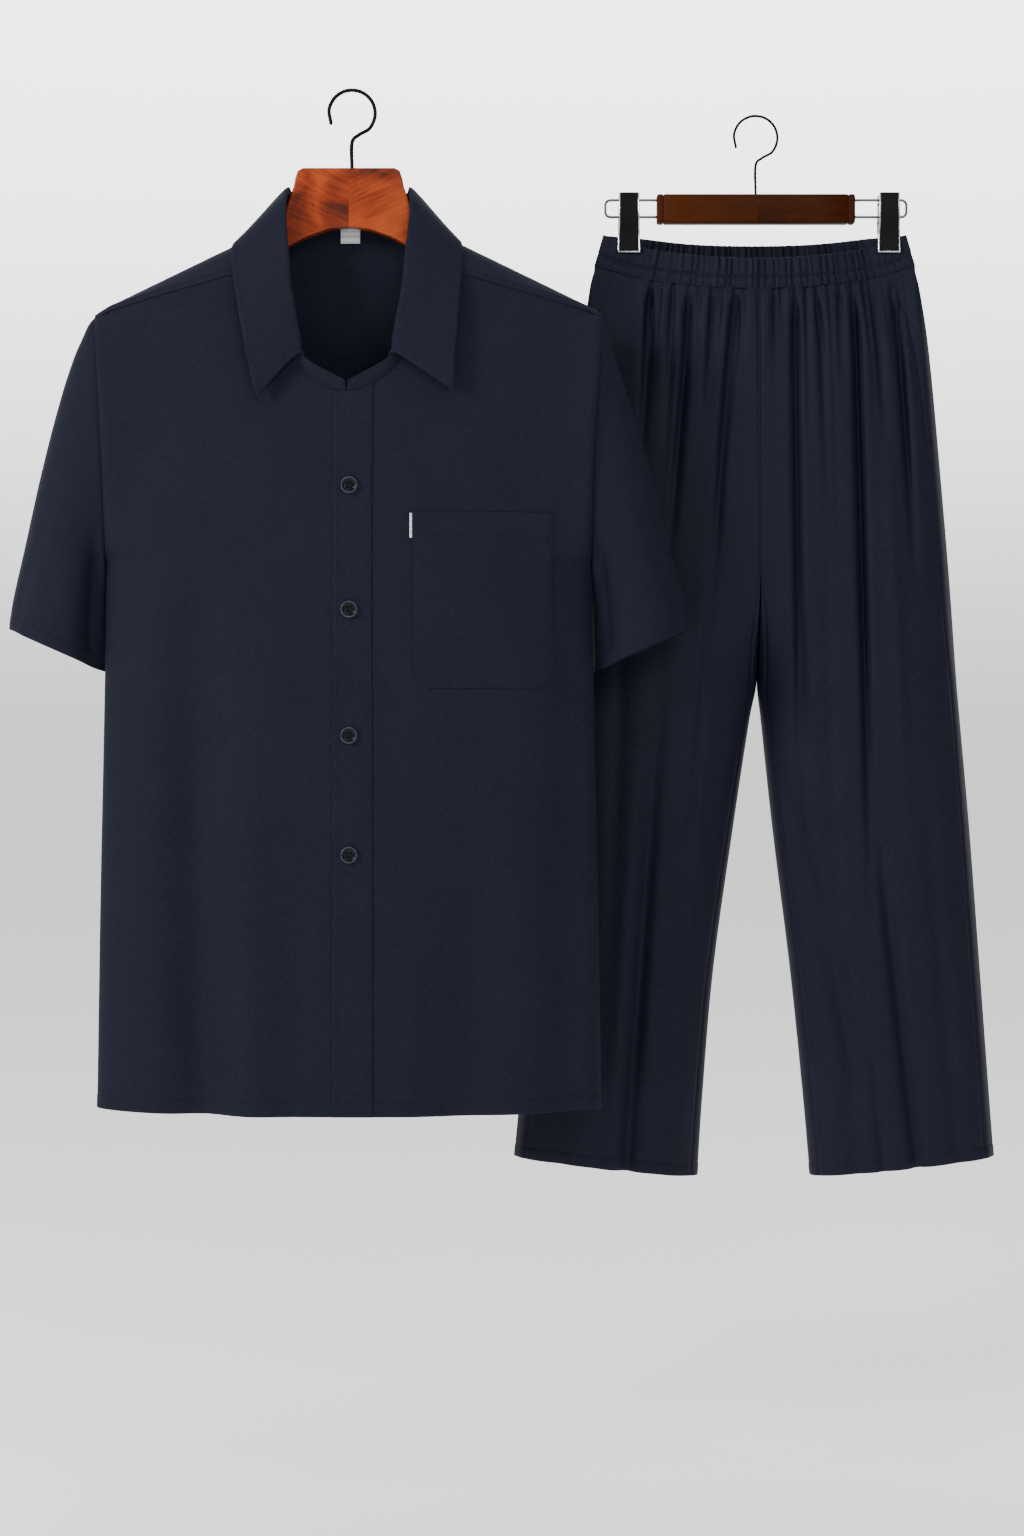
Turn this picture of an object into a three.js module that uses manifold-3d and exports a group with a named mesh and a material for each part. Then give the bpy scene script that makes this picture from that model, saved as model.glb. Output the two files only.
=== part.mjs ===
// A short-sleeved shirt on a wooden hanger, with its trousers behind it on a clip hanger.
// Millimetres, +Z up. The front of both garments faces -Y and +X is to the viewer's right.
// The origin is the inside top of the shirt hanger's hook, where a rail would carry it.
import * as THREE from "three";
import { mergeVertices } from "three/addons/utils/BufferGeometryUtils.js";
import Module from "manifold-3d";

const wasm = await Module();
wasm.setup();

// Cloth
const CLOTH = 1.4; // wall of one piece of cloth
const SEAM = 0.3; // gap between two pieces that are sewn together

// Shirt body
const SHIRT_X = -2.5; // middle of the shirt
const HEM_Z = -957;
const HEM_RISE = 3.5; // the hem is this much higher at the sides
const UNDERARM_Z = -440;
const SHOULDER_HALF = 238.5; // from the middle to the tip of the shoulder
const NECK_HALF = 74; // half the width of the neck hole
const RIDGE_Z = -129; // top of the shoulder beside the neck
const RIDGE_SLOPE = 0.483;
const ARMHOLE_DEPTH = 24; // half the depth of the open armhole
const SEAM_DROP_NECK = 38; // the shoulder seam lies this far below the ridge at the neck
const SEAM_DROP_TIP = 4;
const FRONT_NECK_DROP = 120; // from the shoulder seam down to the middle front
const BACK_NECK_Z = -143;
const ROLL = 34; // height over which the cloth rounds over the shoulder
const FLATNESS = 2.4; // power of the rounded section: 2 is an ellipse, more is flatter
const FRONTS_MEET = 12; // where the two fronts' edges lie under the placket

// Each row is one level of the shirt's body, from the hem up.
const BODY_ROWS = [
  { z: -960, half: 236.5, front: 50, back: 48 },
  { z: -760, half: 233.5, front: 51, back: 48 },
  { z: -590, half: 230, front: 51, back: 47 },
  { z: -440, half: 227.6, front: 50, back: 45 },
  { z: -340, half: 229.5, front: 46, back: 39 },
  { z: -260, half: 234.5, front: 37, back: 29 },
  { z: -200, half: 238.2, front: 26, back: 22 },
  { z: -90, half: 239, front: 20, back: 20 },
];

// Long soft troughs of the shirt: where each is at its top and bottom, and its depth at the hem.
const SHIRT_FOLDS = [
  { face: -1, topZ: -380, topX: -144, endZ: -960, endX: -132, width: 28, depth: 19 },
  { face: -1, topZ: -600, topX: -112, endZ: -960, endX: -94, width: 30, depth: -5 },
  { face: -1, topZ: -580, topX: 128, endZ: -960, endX: 112, width: 30, depth: 7 },
  { face: -1, topZ: -300, topX: 216, endZ: -960, endX: 206, width: 22, depth: 12 },
  { face: 1, topZ: -380, topX: -150, endZ: -960, endX: -128, width: 36, depth: 8 },
  { face: 1, topZ: -420, topX: 8, endZ: -960, endX: 22, width: 42, depth: 6 },
  { face: 1, topZ: -360, topX: 158, endZ: -960, endX: 140, width: 36, depth: 9 },
];

// Sleeves. Each row is one ring, from the armhole to the cuff: x is from the shirt's middle.
const SLEEVE_ROWS = {
  right: [
    { along: 0, outX: 240, outZ: -211, inX: 229, inZ: -440, depth: 25, y: 0 },
    { along: 0.03, outX: 246.6, outZ: -218.5, inX: 229.3, inZ: -443.5, depth: 25.2, y: 0.4 },
    { along: 0.07, outX: 252.3, outZ: -231.5, inX: 229.6, inZ: -448, depth: 25.5, y: 1 },
    { along: 0.12, outX: 259, outZ: -248, inX: 230, inZ: -454, depth: 26, y: 2 },
    { along: 0.3, outX: 277, outZ: -307, inX: 230, inZ: -472, depth: 29, y: 6 },
    { along: 0.5, outX: 292, outZ: -364, inX: 230, inZ: -492, depth: 33, y: 10 },
    { along: 0.7, outX: 306, outZ: -424, inX: 229.5, inZ: -513, depth: 36, y: 14 },
    { along: 0.9, outX: 319, outZ: -480, inX: 229, inZ: -534, depth: 38, y: 17 },
    { along: 1, outX: 322, outZ: -504, inX: 229, inZ: -545, depth: 39, y: 18 },
  ],
  left: [
    { along: 0, outX: 240, outZ: -211, inX: 229, inZ: -440, depth: 25, y: 0 },
    { along: 0.03, outX: 243.4, outZ: -220.5, inX: 229.3, inZ: -443.5, depth: 25.2, y: 0.4 },
    { along: 0.07, outX: 246.6, outZ: -234, inX: 229.6, inZ: -448, depth: 25.5, y: 1 },
    { along: 0.12, outX: 250, outZ: -250, inX: 230, inZ: -454, depth: 26, y: 2 },
    { along: 0.3, outX: 266, outZ: -300, inX: 230, inZ: -472, depth: 29, y: 5 },
    { along: 0.5, outX: 284, outZ: -360, inX: 230, inZ: -492, depth: 33, y: 9 },
    { along: 0.7, outX: 300, outZ: -425, inX: 229.5, inZ: -513, depth: 36, y: 12 },
    { along: 0.9, outX: 317, outZ: -481, inX: 229, inZ: -534, depth: 38, y: 15 },
    { along: 1, outX: 320, outZ: -505, inX: 229, inZ: -545, depth: 39, y: 16 },
  ],
};

const SLEEVE_HEAD = 0.22; // share of the sleeve that bends to meet the armhole

// Collar. The fold runs from the middle of the back (s 0) to the middle of the front (s 1).
// base is the place on the neckline below it: 0 to 1 on the back, 1 to 2 on the front. The
// leaf's free edge has its own x and z on the wearer's right (r) and left (l) side.
const COLLAR_ROWS = [
  { s: 0, base: 0, x: 0, y: 16, z: -104, rX: 0, lX: 0, edgeY: 36, rZ: -156, lZ: -156 },
  { s: 0.17, base: 0.45, x: 41, y: 14, z: -102, rX: 58, lX: 55, edgeY: 33, rZ: -157, lZ: -157 },
  { s: 0.27, base: 0.62, x: 54, y: 9, z: -97, rX: 88, lX: 84, edgeY: 24, rZ: -153, lZ: -153 },
  { s: 0.34, base: 0.69, x: 57, y: -2, z: -94, rX: 100, lX: 98.5, edgeY: 11, rZ: -139.5, lZ: -140.5 },
  { s: 0.4, base: 0.745, x: 58.5, y: -16, z: -107, rX: 105.5, lX: 104.5, edgeY: -6, rZ: -141.6, lZ: -141.8 },
  { s: 0.46, base: 0.79, x: 58.5, y: -24, z: -126, rX: 109.5, lX: 107, edgeY: -18, rZ: -153, lZ: -152.5 },
  { s: 0.53, base: 0.86, x: 57.5, y: -30, z: -152, rX: 107, lX: 106, edgeY: -27, rZ: -177, lZ: -177 },
  { s: 0.6, base: 1.13, x: 55, y: -35, z: -180, rX: 102.5, lX: 104.5, edgeY: -35, rZ: -200, lZ: -199 },
  { s: 0.7, base: 1.35, x: 49.5, y: -39, z: -212, rX: 96, lX: 102, edgeY: -43.5, rZ: -235, lZ: -232 },
  { s: 0.79, base: 1.53, x: 43.5, y: -41.5, z: -239, rX: 90, lX: 100, edgeY: -48.5, rZ: -263, lZ: -259 },
  { s: 0.88, base: 1.68, x: 38, y: -42.5, z: -256, rX: 81.5, lX: 98, edgeY: -51.5, rZ: -293, lZ: -287 },
  { s: 1, base: 2, x: 1.5, y: -43, z: -277, rX: 60, lX: 80, edgeY: -48, rZ: -300, lZ: -290 },
];
const LEAF_END = 0.88; // the leaf stops here, short of the middle front
const LEAF_WALL = 1.6;
const LEAF_RISE = 11;
const LEAF_BELLY = 7; // how far the leaf bulges out as it turns over
const STAND_GAP = 1.4; // between the neckline and the stand, and between stand and leaf

// Placket, buttons and pocket, measured from the middle of the shirt
const PLACKET = { left: -12.9, right: 24.9 };
const BUTTON = { radius: 7.8, thick: 3, x: 3, z: [-375, -489.5, -605.5, -715.5], hole: 0.9 };
const POCKET = { left: 63.8, right: 198.9, top: -399, bottom: -562, corner: 20 };
const TAB = { left: 59, right: 63.2, top: -400, bottom: -426 };
const LABEL = { width: 18.5, height: 14, wall: 0.8, z: -132, clear: 1.3 };
const LAYER = CLOTH + SEAM + 0.2; // from the middle of a panel to that of a piece on it

// Wooden hanger, as half an outline: x from the middle, z down from the hook
const HANGER_THICK = 12;
const HANGER_BEVEL = 1.5;
const HANGER_X = -2.8;
const HANGER_TOP = [
  { x: 0, z: -72.3 },
  { x: 43, z: -72.3 },
  { x: 48, z: -75 },
  { x: 50.5, z: -82.5 },
  { x: 52.2, z: -91 },
  { x: 57.2, z: -106 },
  { x: 60.3, z: -118 },
  { x: 63.5, z: -133.5 },
  { x: 72, z: -142 },
  { x: 85, z: -144 },
  { x: 120, z: -154.8 },
  { x: 180, z: -183.8 },
  { x: 214, z: -201.4 },
  { x: 222, z: -211 },
];
const HANGER_UNDER = [
  { x: 222, z: -224 },
  { x: 160, z: -190 },
  { x: 100, z: -163 },
  { x: 62, z: -148.5 },
  { x: 40, z: -137 },
  { x: 20, z: -130 },
  { x: 0, z: -127.8 },
];
const HOOK_WIRE = 3.6;
const HOOK_RADIUS = 20; // inside of the hook
const CLIP_HOOK_WIRE = 2.6;

// Trousers
const TROUSER_Y = 93.2;
const TROUSER_X = 390; // the middle seams
const BAND_X = 387.3;
const BAND = { topHalf: 147.8, bottomHalf: 156.4, height: 29.5, sideTop: -115, gathers: 60 };
const BAND_DIP = { front: 26.5, back: 7 }; // how far the band's top hangs down in the middle
const GATHER = 0.85; // height of the band's gathers, each way from their middle
const PANEL_GATHERS = 13; // on each of the four panels, below the band
const PANEL_GATHER = 1.5;
const GATHER_END_Z = -300;
const FORK_FRONT_Z = -445; // the front middle seam turns under the body here
const FORK_BACK_Z = -490;
const FORK_END_Z = -550; // the two inside leg seams part here
const INSEAM_Y = 8; // inside leg seams lie this far behind the trousers' middle

// Each row is a place across the waist: 0 is the middle, 1 is the side.
const WAIST_ROWS = [
  { across: 0, front: 23, back: 19 },
  { across: 0.3, front: 20.5, back: 17 },
  { across: 0.5, front: 14.5, back: 12 },
  { across: 0.64, front: 7, back: 6 },
  { across: 0.72, front: 2.6, back: 2.5 },
  { across: 0.755, front: 1.6, back: 1.6 },
  { across: 0.95, front: 1.6, back: 1.6 },
  { across: 0.975, front: 2, back: 2 },
  { across: 1, front: 1.3, back: 1.3 },
];

// Each row is one level of the trousers: distances from the middle seams, for the wearer's
// right leg (r) and left leg (l), and the depth of the front and the back.
const TROUSER_ROWS = [
  { z: -1040, rOut: 240, lOut: 232.5, rIn: 59, lIn: 53, front: 27, back: 27 },
  { z: -955, rOut: 232, lOut: 226, rIn: 53.5, lIn: 45.5, front: 29, back: 29 },
  { z: -833, rOut: 223, lOut: 217, rIn: 43, lIn: 33, front: 31, back: 31 },
  { z: -693, rOut: 211.5, lOut: 206.5, rIn: 23.5, lIn: 15.6, front: 34, back: 34 },
  { z: -585, rOut: 202, lOut: 197, rIn: 7, lIn: 4, front: 37, back: 36 },
  { z: -550, rOut: 199, lOut: 194, rIn: 0.5, lIn: 0.3, front: 37.5, back: 37 },
  { z: -450, rOut: 190, lOut: 187, rIn: 0, lIn: 0, front: 37, back: 36 },
  { z: -320, rOut: 179, lOut: 176, rIn: 0, lIn: 0, front: 33, back: 31 },
  { z: -240, rOut: 172, lOut: 168.5, rIn: 0, lIn: 0, front: 29, back: 26 },
  { z: -190, rOut: 167, lOut: 162, rIn: 0, lIn: 0, front: 26, back: 22 },
  { z: -140, rOut: 159.5, lOut: 153, rIn: 0, lIn: 0, front: 24, back: 20 },
];
const TROUSER_HEM = { side: -1013.5, inside: -1033 };

// Long folds that fall from the band: x from the middle seams, depth in at its deepest.
const TROUSER_FOLDS = [
  { face: -1, topZ: -172, topX: -66, endZ: -460, endX: -90, width: 7, depth: 4 },
  { face: -1, topZ: -174, topX: -24, endZ: -500, endX: -50, width: 6, depth: 3.5 },
  { face: -1, topZ: -172, topX: 34, endZ: -760, endX: 39, width: 8, depth: 5 },
  { face: -1, topZ: -166, topX: 93, endZ: -860, endX: 108, width: 8, depth: 7 },
  { face: -1, topZ: -560, topX: 98, endZ: -1040, endX: 155, width: 13, depth: 7 },
  { face: -1, topZ: -160, topX: 133, endZ: -480, endX: 153, width: 7, depth: 5 },
  { face: -1, topZ: -480, topX: -92, endZ: -1040, endX: -130, width: 14, depth: 8 },
  { face: 1, topZ: -185, topX: -96, endZ: -640, endX: -112, width: 9, depth: 4 },
  { face: 1, topZ: -185, topX: -42, endZ: -420, endX: -58, width: 8, depth: 3 },
  { face: 1, topZ: -185, topX: 58, endZ: -480, endX: 74, width: 8, depth: 3.5 },
  { face: 1, topZ: -190, topX: 112, endZ: -620, endX: 128, width: 9, depth: 4 },
  { face: 1, topZ: -560, topX: -106, endZ: -1040, endX: -142, width: 14, depth: 6 },
  { face: 1, topZ: -600, topX: 104, endZ: -1040, endX: 140, width: 14, depth: 6 },
];

// Clip hanger
const CLIP_BAR = { left: 291.6, right: 484.9, top: -76, bottom: -104.2, thick: 14, bevel: 1.5 };
const CLIP_WIRE = { radius: 1.3, highZ: -81, lowZ: -97.5, leftX: 241.5, rightX: 535.5 };
const CLIP = {
  x: [264.5, 518],
  width: 20,
  top: -75,
  bottom: -133,
  jaw: 2.4,
  bulge: 9, // half its depth round the wires
  lipZ: -108, // where the jaws start to lie close together
  grip: 3.3, // half the gap between the jaws
};

const COLOUR = {
  shirt: 0x20252f,
  trousers: 0x1a2030,
  button: 0x3a4252,
  label: 0xe8e8e6,
  wood: 0x8e3a16,
  darkWood: 0x3a1d12,
  steel: 0xc9ccd0,
  blackSteel: 0x17181a,
};

function finish(colour, roughness, metalness = 0) {
  return new THREE.MeshStandardMaterial({ color: colour, roughness, metalness });
}

const SHIRT_CLOTH = finish(COLOUR.shirt, 0.85);
const TROUSER_CLOTH = finish(COLOUR.trousers, 0.7);
const group = new THREE.Group();

function add(name, geometry, material) {
  const mesh = new THREE.Mesh(geometry, material);
  mesh.name = name;
  group.add(mesh);
  return mesh;
}

function clamp(value, low = 0, high = 1) {
  return Math.min(high, Math.max(low, value));
}

// Goes smoothly from 0 at the first value to 1 at the second.
function ease(from, to, value) {
  const t = clamp((value - from) / (to - from));
  return t * t * (3 - 2 * t);
}

// A smooth curve through one column of a table whose rows are sorted by key.
function lookUp(rows, key, at, column) {
  const last = rows.length - 2;
  let i = 0;
  while (i < last && at > rows[i + 1][key]) i += 1;
  const [a, b] = [rows[i], rows[i + 1]];
  const [before, after] = [rows[Math.max(i - 1, 0)], rows[Math.min(i + 2, last + 1)]];
  const step = b[key] - a[key];
  const t = clamp((at - a[key]) / step);
  const slopeA = ((b[column] - before[column]) / (b[key] - before[key])) * step;
  const slopeB = ((after[column] - a[column]) / (after[key] - a[key])) * step;
  const [t2, t3] = [t * t, t * t * t];
  return (
    a[column] * (2 * t3 - 3 * t2 + 1) +
    slopeA * (t3 - 2 * t2 + t) +
    b[column] * (3 * t2 - 2 * t3) +
    slopeB * (t3 - t2)
  );
}

// Depth added by long folds: each is a soft trough (or, with a minus sign, a ridge).
function foldDepth(folds, face, x, z) {
  let depth = 0;
  for (const f of folds) {
    if (f.face !== face) continue;
    const down = (f.topZ - z) / (f.topZ - f.endZ);
    const open = f.endZ <= HEM_Z ? 1.15 : 1; // a fold that reaches a hem stays open there
    if (down <= 0 || down >= open) continue;
    const across = (x - (f.topX + (f.endX - f.topX) * down)) / f.width;
    const length = f.endZ <= HEM_Z ? ease(0, 0.6, down) : Math.sin(Math.PI * down);
    depth += f.depth * length * Math.exp(-across * across);
  }
  return depth;
}

// Triangles of the band between two rows of points that run the same way.
function bridge(rowA, rowB, triangles) {
  let [i, j] = [0, 0];
  while (i < rowA.length - 1 || j < rowB.length - 1) {
    const nextA = i < rowA.length - 1 ? rowA[i + 1].u : Infinity;
    const nextB = j < rowB.length - 1 ? rowB[j + 1].u : Infinity;
    const moveA = nextA <= nextB;
    triangles.push(rowA[i].id, rowB[j].id, moveA ? rowA[i + 1].id : rowB[j + 1].id);
    if (moveA) i += 1;
    else j += 1;
  }
}

function closedGeometry(points, triangles) {
  let volume = 0;
  for (let i = 0; i < triangles.length; i += 3) {
    const [a, b, c] = [0, 1, 2].map((k) => points[triangles[i + k]]);
    volume += a.dot(b.clone().cross(c));
  }
  if (volume < 0) triangles.reverse();
  const geometry = new THREE.BufferGeometry().setFromPoints(points);
  geometry.setIndex(triangles);
  geometry.computeVertexNormals();
  return geometry;
}

// The outward direction of a surface at (u, v), by small steps.
function normalAt(surface, u, v, closed) {
  const e = 2e-3;
  const [u0, u1] = closed ? [u - e, u + e] : [Math.max(u - e, 0), Math.min(u + e, 1)];
  const [v0, v1] = [Math.max(v - e, 0), Math.min(v + e, 1)];
  const du = surface(u1, v).sub(surface(u0, v));
  const dv = surface(u, v1).sub(surface(u, v0));
  return du.cross(dv).normalize();
}

// A wall of cloth on surface(u, v), u and v from 0 to 1. rows holds { v, us }: each row may
// have its own columns. shift moves the wall out along the surface's normal.
function sheet(surface, rows, { wall = CLOTH, shift = 0, closed = false } = {}) {
  const points = [];
  const faces = [wall / 2, -wall / 2].map((half) =>
    rows.map(({ v, us }) => {
      const row = us.map((u) => {
        const p = surface(u, v);
        p.addScaledVector(normalAt(surface, u, v, closed), shift + half);
        points.push(p);
        return { u, id: points.length - 1 };
      });
      if (closed) row.push({ u: 1, id: row[0].id });
      return row;
    }),
  );
  const triangles = [];
  const back = [];
  for (let i = 0; i < rows.length - 1; i += 1) {
    bridge(faces[0][i], faces[0][i + 1], triangles);
    bridge(faces[1][i], faces[1][i + 1], back);
  }
  const last = rows.length - 1;
  bridge(faces[0][last], faces[1][last], triangles);
  bridge(faces[1][0], faces[0][0], triangles);
  for (let i = 0; i < back.length; i += 3) triangles.push(back[i], back[i + 2], back[i + 1]);
  if (!closed) {
    const column = (face, end) => face.map((row, i) => ({ u: i, id: row.at(end).id }));
    bridge(column(faces[0], 0), column(faces[1], 0), triangles);
    bridge(column(faces[1], -1), column(faces[0], -1), triangles);
  }
  return closedGeometry(points, triangles);
}

function evenly(count, from = 0, to = 1) {
  return Array.from({ length: count + 1 }, (_, i) => from + ((to - from) * i) / count);
}

function uniformRows(vs, us) {
  return vs.map((v) => ({ v, us }));
}

// How round the section is: 1 in the middle, 0 at the side.
function roundness(across) {
  return Math.sqrt(Math.max(0, 1 - Math.abs(across) ** FLATNESS));
}

function ridgeZ(fromMiddle) {
  return RIDGE_Z - RIDGE_SLOPE * (Math.abs(fromMiddle) - NECK_HALF);
}

function shoulderSeamDrop(fromMiddle) {
  const t = (Math.abs(fromMiddle) - NECK_HALF) / (SHOULDER_HALF - NECK_HALF);
  return SEAM_DROP_NECK + (SEAM_DROP_TIP - SEAM_DROP_NECK) * clamp(t);
}

function rollHeight(across) {
  return 1.5 + ROLL * (1 - across ** 4);
}

// Half the gap at the side: the armhole above the underarm, and the side seam below it.
function sideGap(z) {
  const tip = ridgeZ(SHOULDER_HALF);
  const t = clamp((z - UNDERARM_Z) / (tip - UNDERARM_Z));
  return SEAM / 2 + 2 * ARMHOLE_DEPTH * Math.sqrt(t * (1 - t));
}

function bodyPoint(across, z, face, over) {
  const column = face < 0 ? "front" : "back";
  const x = across * lookUp(BODY_ROWS, "z", z, "half");
  const gap = sideGap(z);
  const depth = lookUp(BODY_ROWS, "z", z, column) * roundness(across) + gap * across ** 10;
  const fold = foldDepth(SHIRT_FOLDS, face, x, z) * roundness(across);
  return new THREE.Vector3(SHIRT_X + x, face * (depth - fold) * over, z);
}

function hemZ(across) {
  return HEM_Z + HEM_RISE * Math.abs(across) ** 3;
}

// Height of the top edge of a shirt front: the neckline, then the shoulder seam.
function frontTopZ(across) {
  const x = Math.abs(across) * SHOULDER_HALF;
  if (x >= NECK_HALF) return ridgeZ(x) - shoulderSeamDrop(x) - SEAM;
  const start = RIDGE_Z - SEAM_DROP_NECK - SEAM;
  return start - FRONT_NECK_DROP * Math.sqrt(1 - (x / NECK_HALF) ** 2);
}

function frontPoint(across, z) {
  const drop = ridgeZ(across * SHOULDER_HALF) - z;
  const roll = rollHeight(across);
  const over = drop >= roll ? 1 : Math.sqrt(Math.max(0, 1 - (1 - drop / roll) ** 2));
  return bodyPoint(across, z, -1, over);
}

// The back goes up from the hem (climb 0 to 1), over the shoulder (1 to 3) and down in front.
function backPoint(across, climb) {
  const roll = rollHeight(across);
  const foot = ridgeZ(across * SHOULDER_HALF) - roll;
  if (climb <= 1) return bodyPoint(across, hemZ(across) * (1 - climb) + foot * climb, 1, 1);
  if (climb >= 3) return bodyPoint(across, foot - (climb - 3) * roll, -1, 1);
  const angle = ((climb - 1) * Math.PI) / 2;
  const over = Math.abs(Math.cos(angle));
  return bodyPoint(across, foot + roll * Math.sin(angle), climb <= 2 ? 1 : -1, over);
}

// Where the back's top edge is: the back neckline, then the shoulder seam in front.
function backEnd(across) {
  const x = Math.abs(across) * SHOULDER_HALF;
  const roll = rollHeight(across);
  const drop = shoulderSeamDrop(x) - SEAM;
  const seam = drop < roll ? 3 - Math.asin(1 - drop / roll) / (Math.PI / 2) : 3 + drop / roll - 1;
  const foot = ridgeZ(x) - roll;
  const neckZ = BACK_NECK_Z + (RIDGE_Z - BACK_NECK_Z) * clamp(x / NECK_HALF) ** 2.5;
  const neck =
    neckZ < foot
      ? (neckZ - hemZ(across)) / (foot - hemZ(across))
      : 1 + Math.asin(clamp((neckZ - foot) / roll)) / (Math.PI / 2);
  const t = ease(NECK_HALF - 12, NECK_HALF + 1, x);
  return neck + (seam - neck) * t;
}

// Angles across the shirt whose sine is the place across; closer together at the neck.
const NECK_ANGLE = Math.asin(NECK_HALF / SHOULDER_HALF);
const NECK_ANGLES = [0.26, 0.48, 0.66, 0.8, 0.9, 0.97].map((t) => t * NECK_ANGLE);
const HALF_ANGLES = [...NECK_ANGLES, ...evenly(8, NECK_ANGLE, Math.PI / 2)];
const OTHER_ANGLES = HALF_ANGLES.map((a) => -a).reverse();
const FRONT_LEVELS = [0, 0.14, 0.28, 0.42, 0.54, 0.62, 0.7, 0.78, 0.85, 0.91, 0.96, 1];

// The front on the viewer's left runs under the placket; the other one stops beside it.
function shirtFront(angles) {
  const [from, to] = [angles[0], angles.at(-1)];
  const surface = (u, v) => {
    const across = Math.sin(from + (to - from) * u);
    const bottom = hemZ(across);
    return frontPoint(across, bottom + (frontTopZ(across) - bottom) * v);
  };
  const columns = angles.map((a) => (a - from) / (to - from));
  return sheet(surface, uniformRows(FRONT_LEVELS, columns));
}

const [meetRight, meetLeft] = [0, 1].map((gap) => Math.asin((FRONTS_MEET + gap) / SHOULDER_HALF));
add("shirt_front_right", shirtFront([...OTHER_ANGLES, 0, meetRight]), SHIRT_CLOTH);
add("shirt_front_left", shirtFront([meetLeft, ...HALF_ANGLES]), SHIRT_CLOTH);

// The back is one piece that goes over the shoulders to the seam in front.
function shirtBack() {
  const foot = 0.8; // share of the rows that is below the shoulder's rounding
  const surface = (u, v) => {
    const across = Math.sin((u - 0.5) * Math.PI);
    const end = backEnd(across);
    const low = Math.min(1, end);
    const climb = v < foot ? (v / foot) * low : low + ((v - foot) / (1 - foot)) * (end - low);
    return backPoint(across, climb);
  };
  const columns = [...OTHER_ANGLES, 0, ...HALF_ANGLES].map((a) => a / Math.PI + 0.5);
  const levels = [0, 0.16, 0.32, 0.46, 0.58, 0.68, 0.75, 0.8, 0.84, 0.88, 0.92, 0.96, 1];
  return sheet(surface, uniformRows(levels, columns));
}
add("shirt_back", shirtBack(), SHIRT_CLOTH);

// Sleeves: rings from the armhole to the cuff. around 0 is the top, 0.5 the underarm.
function sleevePoint(side, around, along) {
  const rows = side < 0 ? SLEEVE_ROWS.right : SLEEVE_ROWS.left;
  const at = (column, place = along) => lookUp(rows, "along", place, column);
  const angle = 2 * Math.PI * around;
  const t = (1 + Math.cos(angle)) / 2;
  const onRing = (axis, place) => {
    const [inside, outside] = [at(`in${axis}`, place), at(`out${axis}`, place)];
    return inside + (outside - inside) * t;
  };
  const seamX = lookUp(BODY_ROWS, "z", onRing("Z", 0), "half") + CLOTH / 2 + 3 * SEAM;
  const bent = (seamX - onRing("X", 0)) * (1 - ease(0, SLEEVE_HEAD, along));
  const x = onRing("X", along) + bent;
  const y = at("y") - side * at("depth") * Math.sin(angle);
  return new THREE.Vector3(SHIRT_X + side * x, y, onRing("Z", along));
}

for (const side of [-1, 1]) {
  const levels = [0, 0.03, 0.07, 0.14, 0.26, 0.4, 0.55, 0.7, 0.85, 1];
  const rows = uniformRows(levels, evenly(20).slice(0, -1));
  const surface = (u, v) => sleevePoint(side, u, v);
  const name = side < 0 ? "sleeve_right" : "sleeve_left";
  add(name, sheet(surface, rows, { closed: true }), SHIRT_CLOTH);
}

// The neckline, by the collar table's base column.
function necklinePoint(side, s) {
  const base = lookUp(COLLAR_ROWS, "s", s, "base");
  if (base < 1) {
    const across = (side * (NECK_HALF + 1) * Math.sin((base * Math.PI) / 2)) / SHOULDER_HALF;
    return backPoint(across, backEnd(across));
  }
  const across = (side * NECK_HALF * Math.cos(((base - 1) * Math.PI) / 2)) / SHOULDER_HALF;
  return frontPoint(across, frontTopZ(across));
}

function foldPoint(side, s) {
  const [x, y, z] = ["x", "y", "z"].map((column) => lookUp(COLLAR_ROWS, "s", s, column));
  return new THREE.Vector3(SHIRT_X + side * x, y, z);
}

function leafEdgePoint(side, s) {
  const columns = side < 0 ? ["rX", "edgeY", "rZ"] : ["lX", "edgeY", "lZ"];
  const [x, y, z] = columns.map((column) => lookUp(COLLAR_ROWS, "s", s, column));
  return new THREE.Vector3(SHIRT_X + side * x, y, z);
}

// Both collar pieces run from the wearer's right front (u 0) round the back to the left.
function roundNeck(u, last) {
  return [u < 0.5 ? -1 : 1, Math.abs(2 * u - 1) * last];
}

function collarColumns(steps) {
  const half = steps.map((s) => s / steps.at(-1) / 2);
  return [...half.map((t) => 0.5 - t).reverse(), ...half.slice(1).map((t) => 0.5 + t)];
}

function standPoint(u, v) {
  const [side, s] = roundNeck(u, 1);
  const base = necklinePoint(side, s);
  const up = foldPoint(side, s).sub(base);
  const start = STAND_GAP / up.length();
  return base.addScaledVector(up, start + (1 - start) * v);
}

// The leaf rises a little from the top of the stand and folds over, out and down.
function leafPoint(u, v) {
  const [side, s] = roundNeck(u, LEAF_END);
  const fold = foldPoint(side, s);
  const up = fold.clone().sub(necklinePoint(side, s)).normalize();
  const start = fold.clone().addScaledVector(up, STAND_GAP);
  const edge = leafEdgePoint(side, s);
  const rise = start.clone().addScaledVector(up, LEAF_RISE);
  const out = new THREE.Vector3(edge.x - fold.x, edge.y - fold.y, 0).normalize();
  const over = start.clone().lerp(edge, 0.3).addScaledVector(out, LEAF_BELLY);
  return new THREE.CubicBezierCurve3(start, rise, over, edge).getPoint(v);
}

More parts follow.
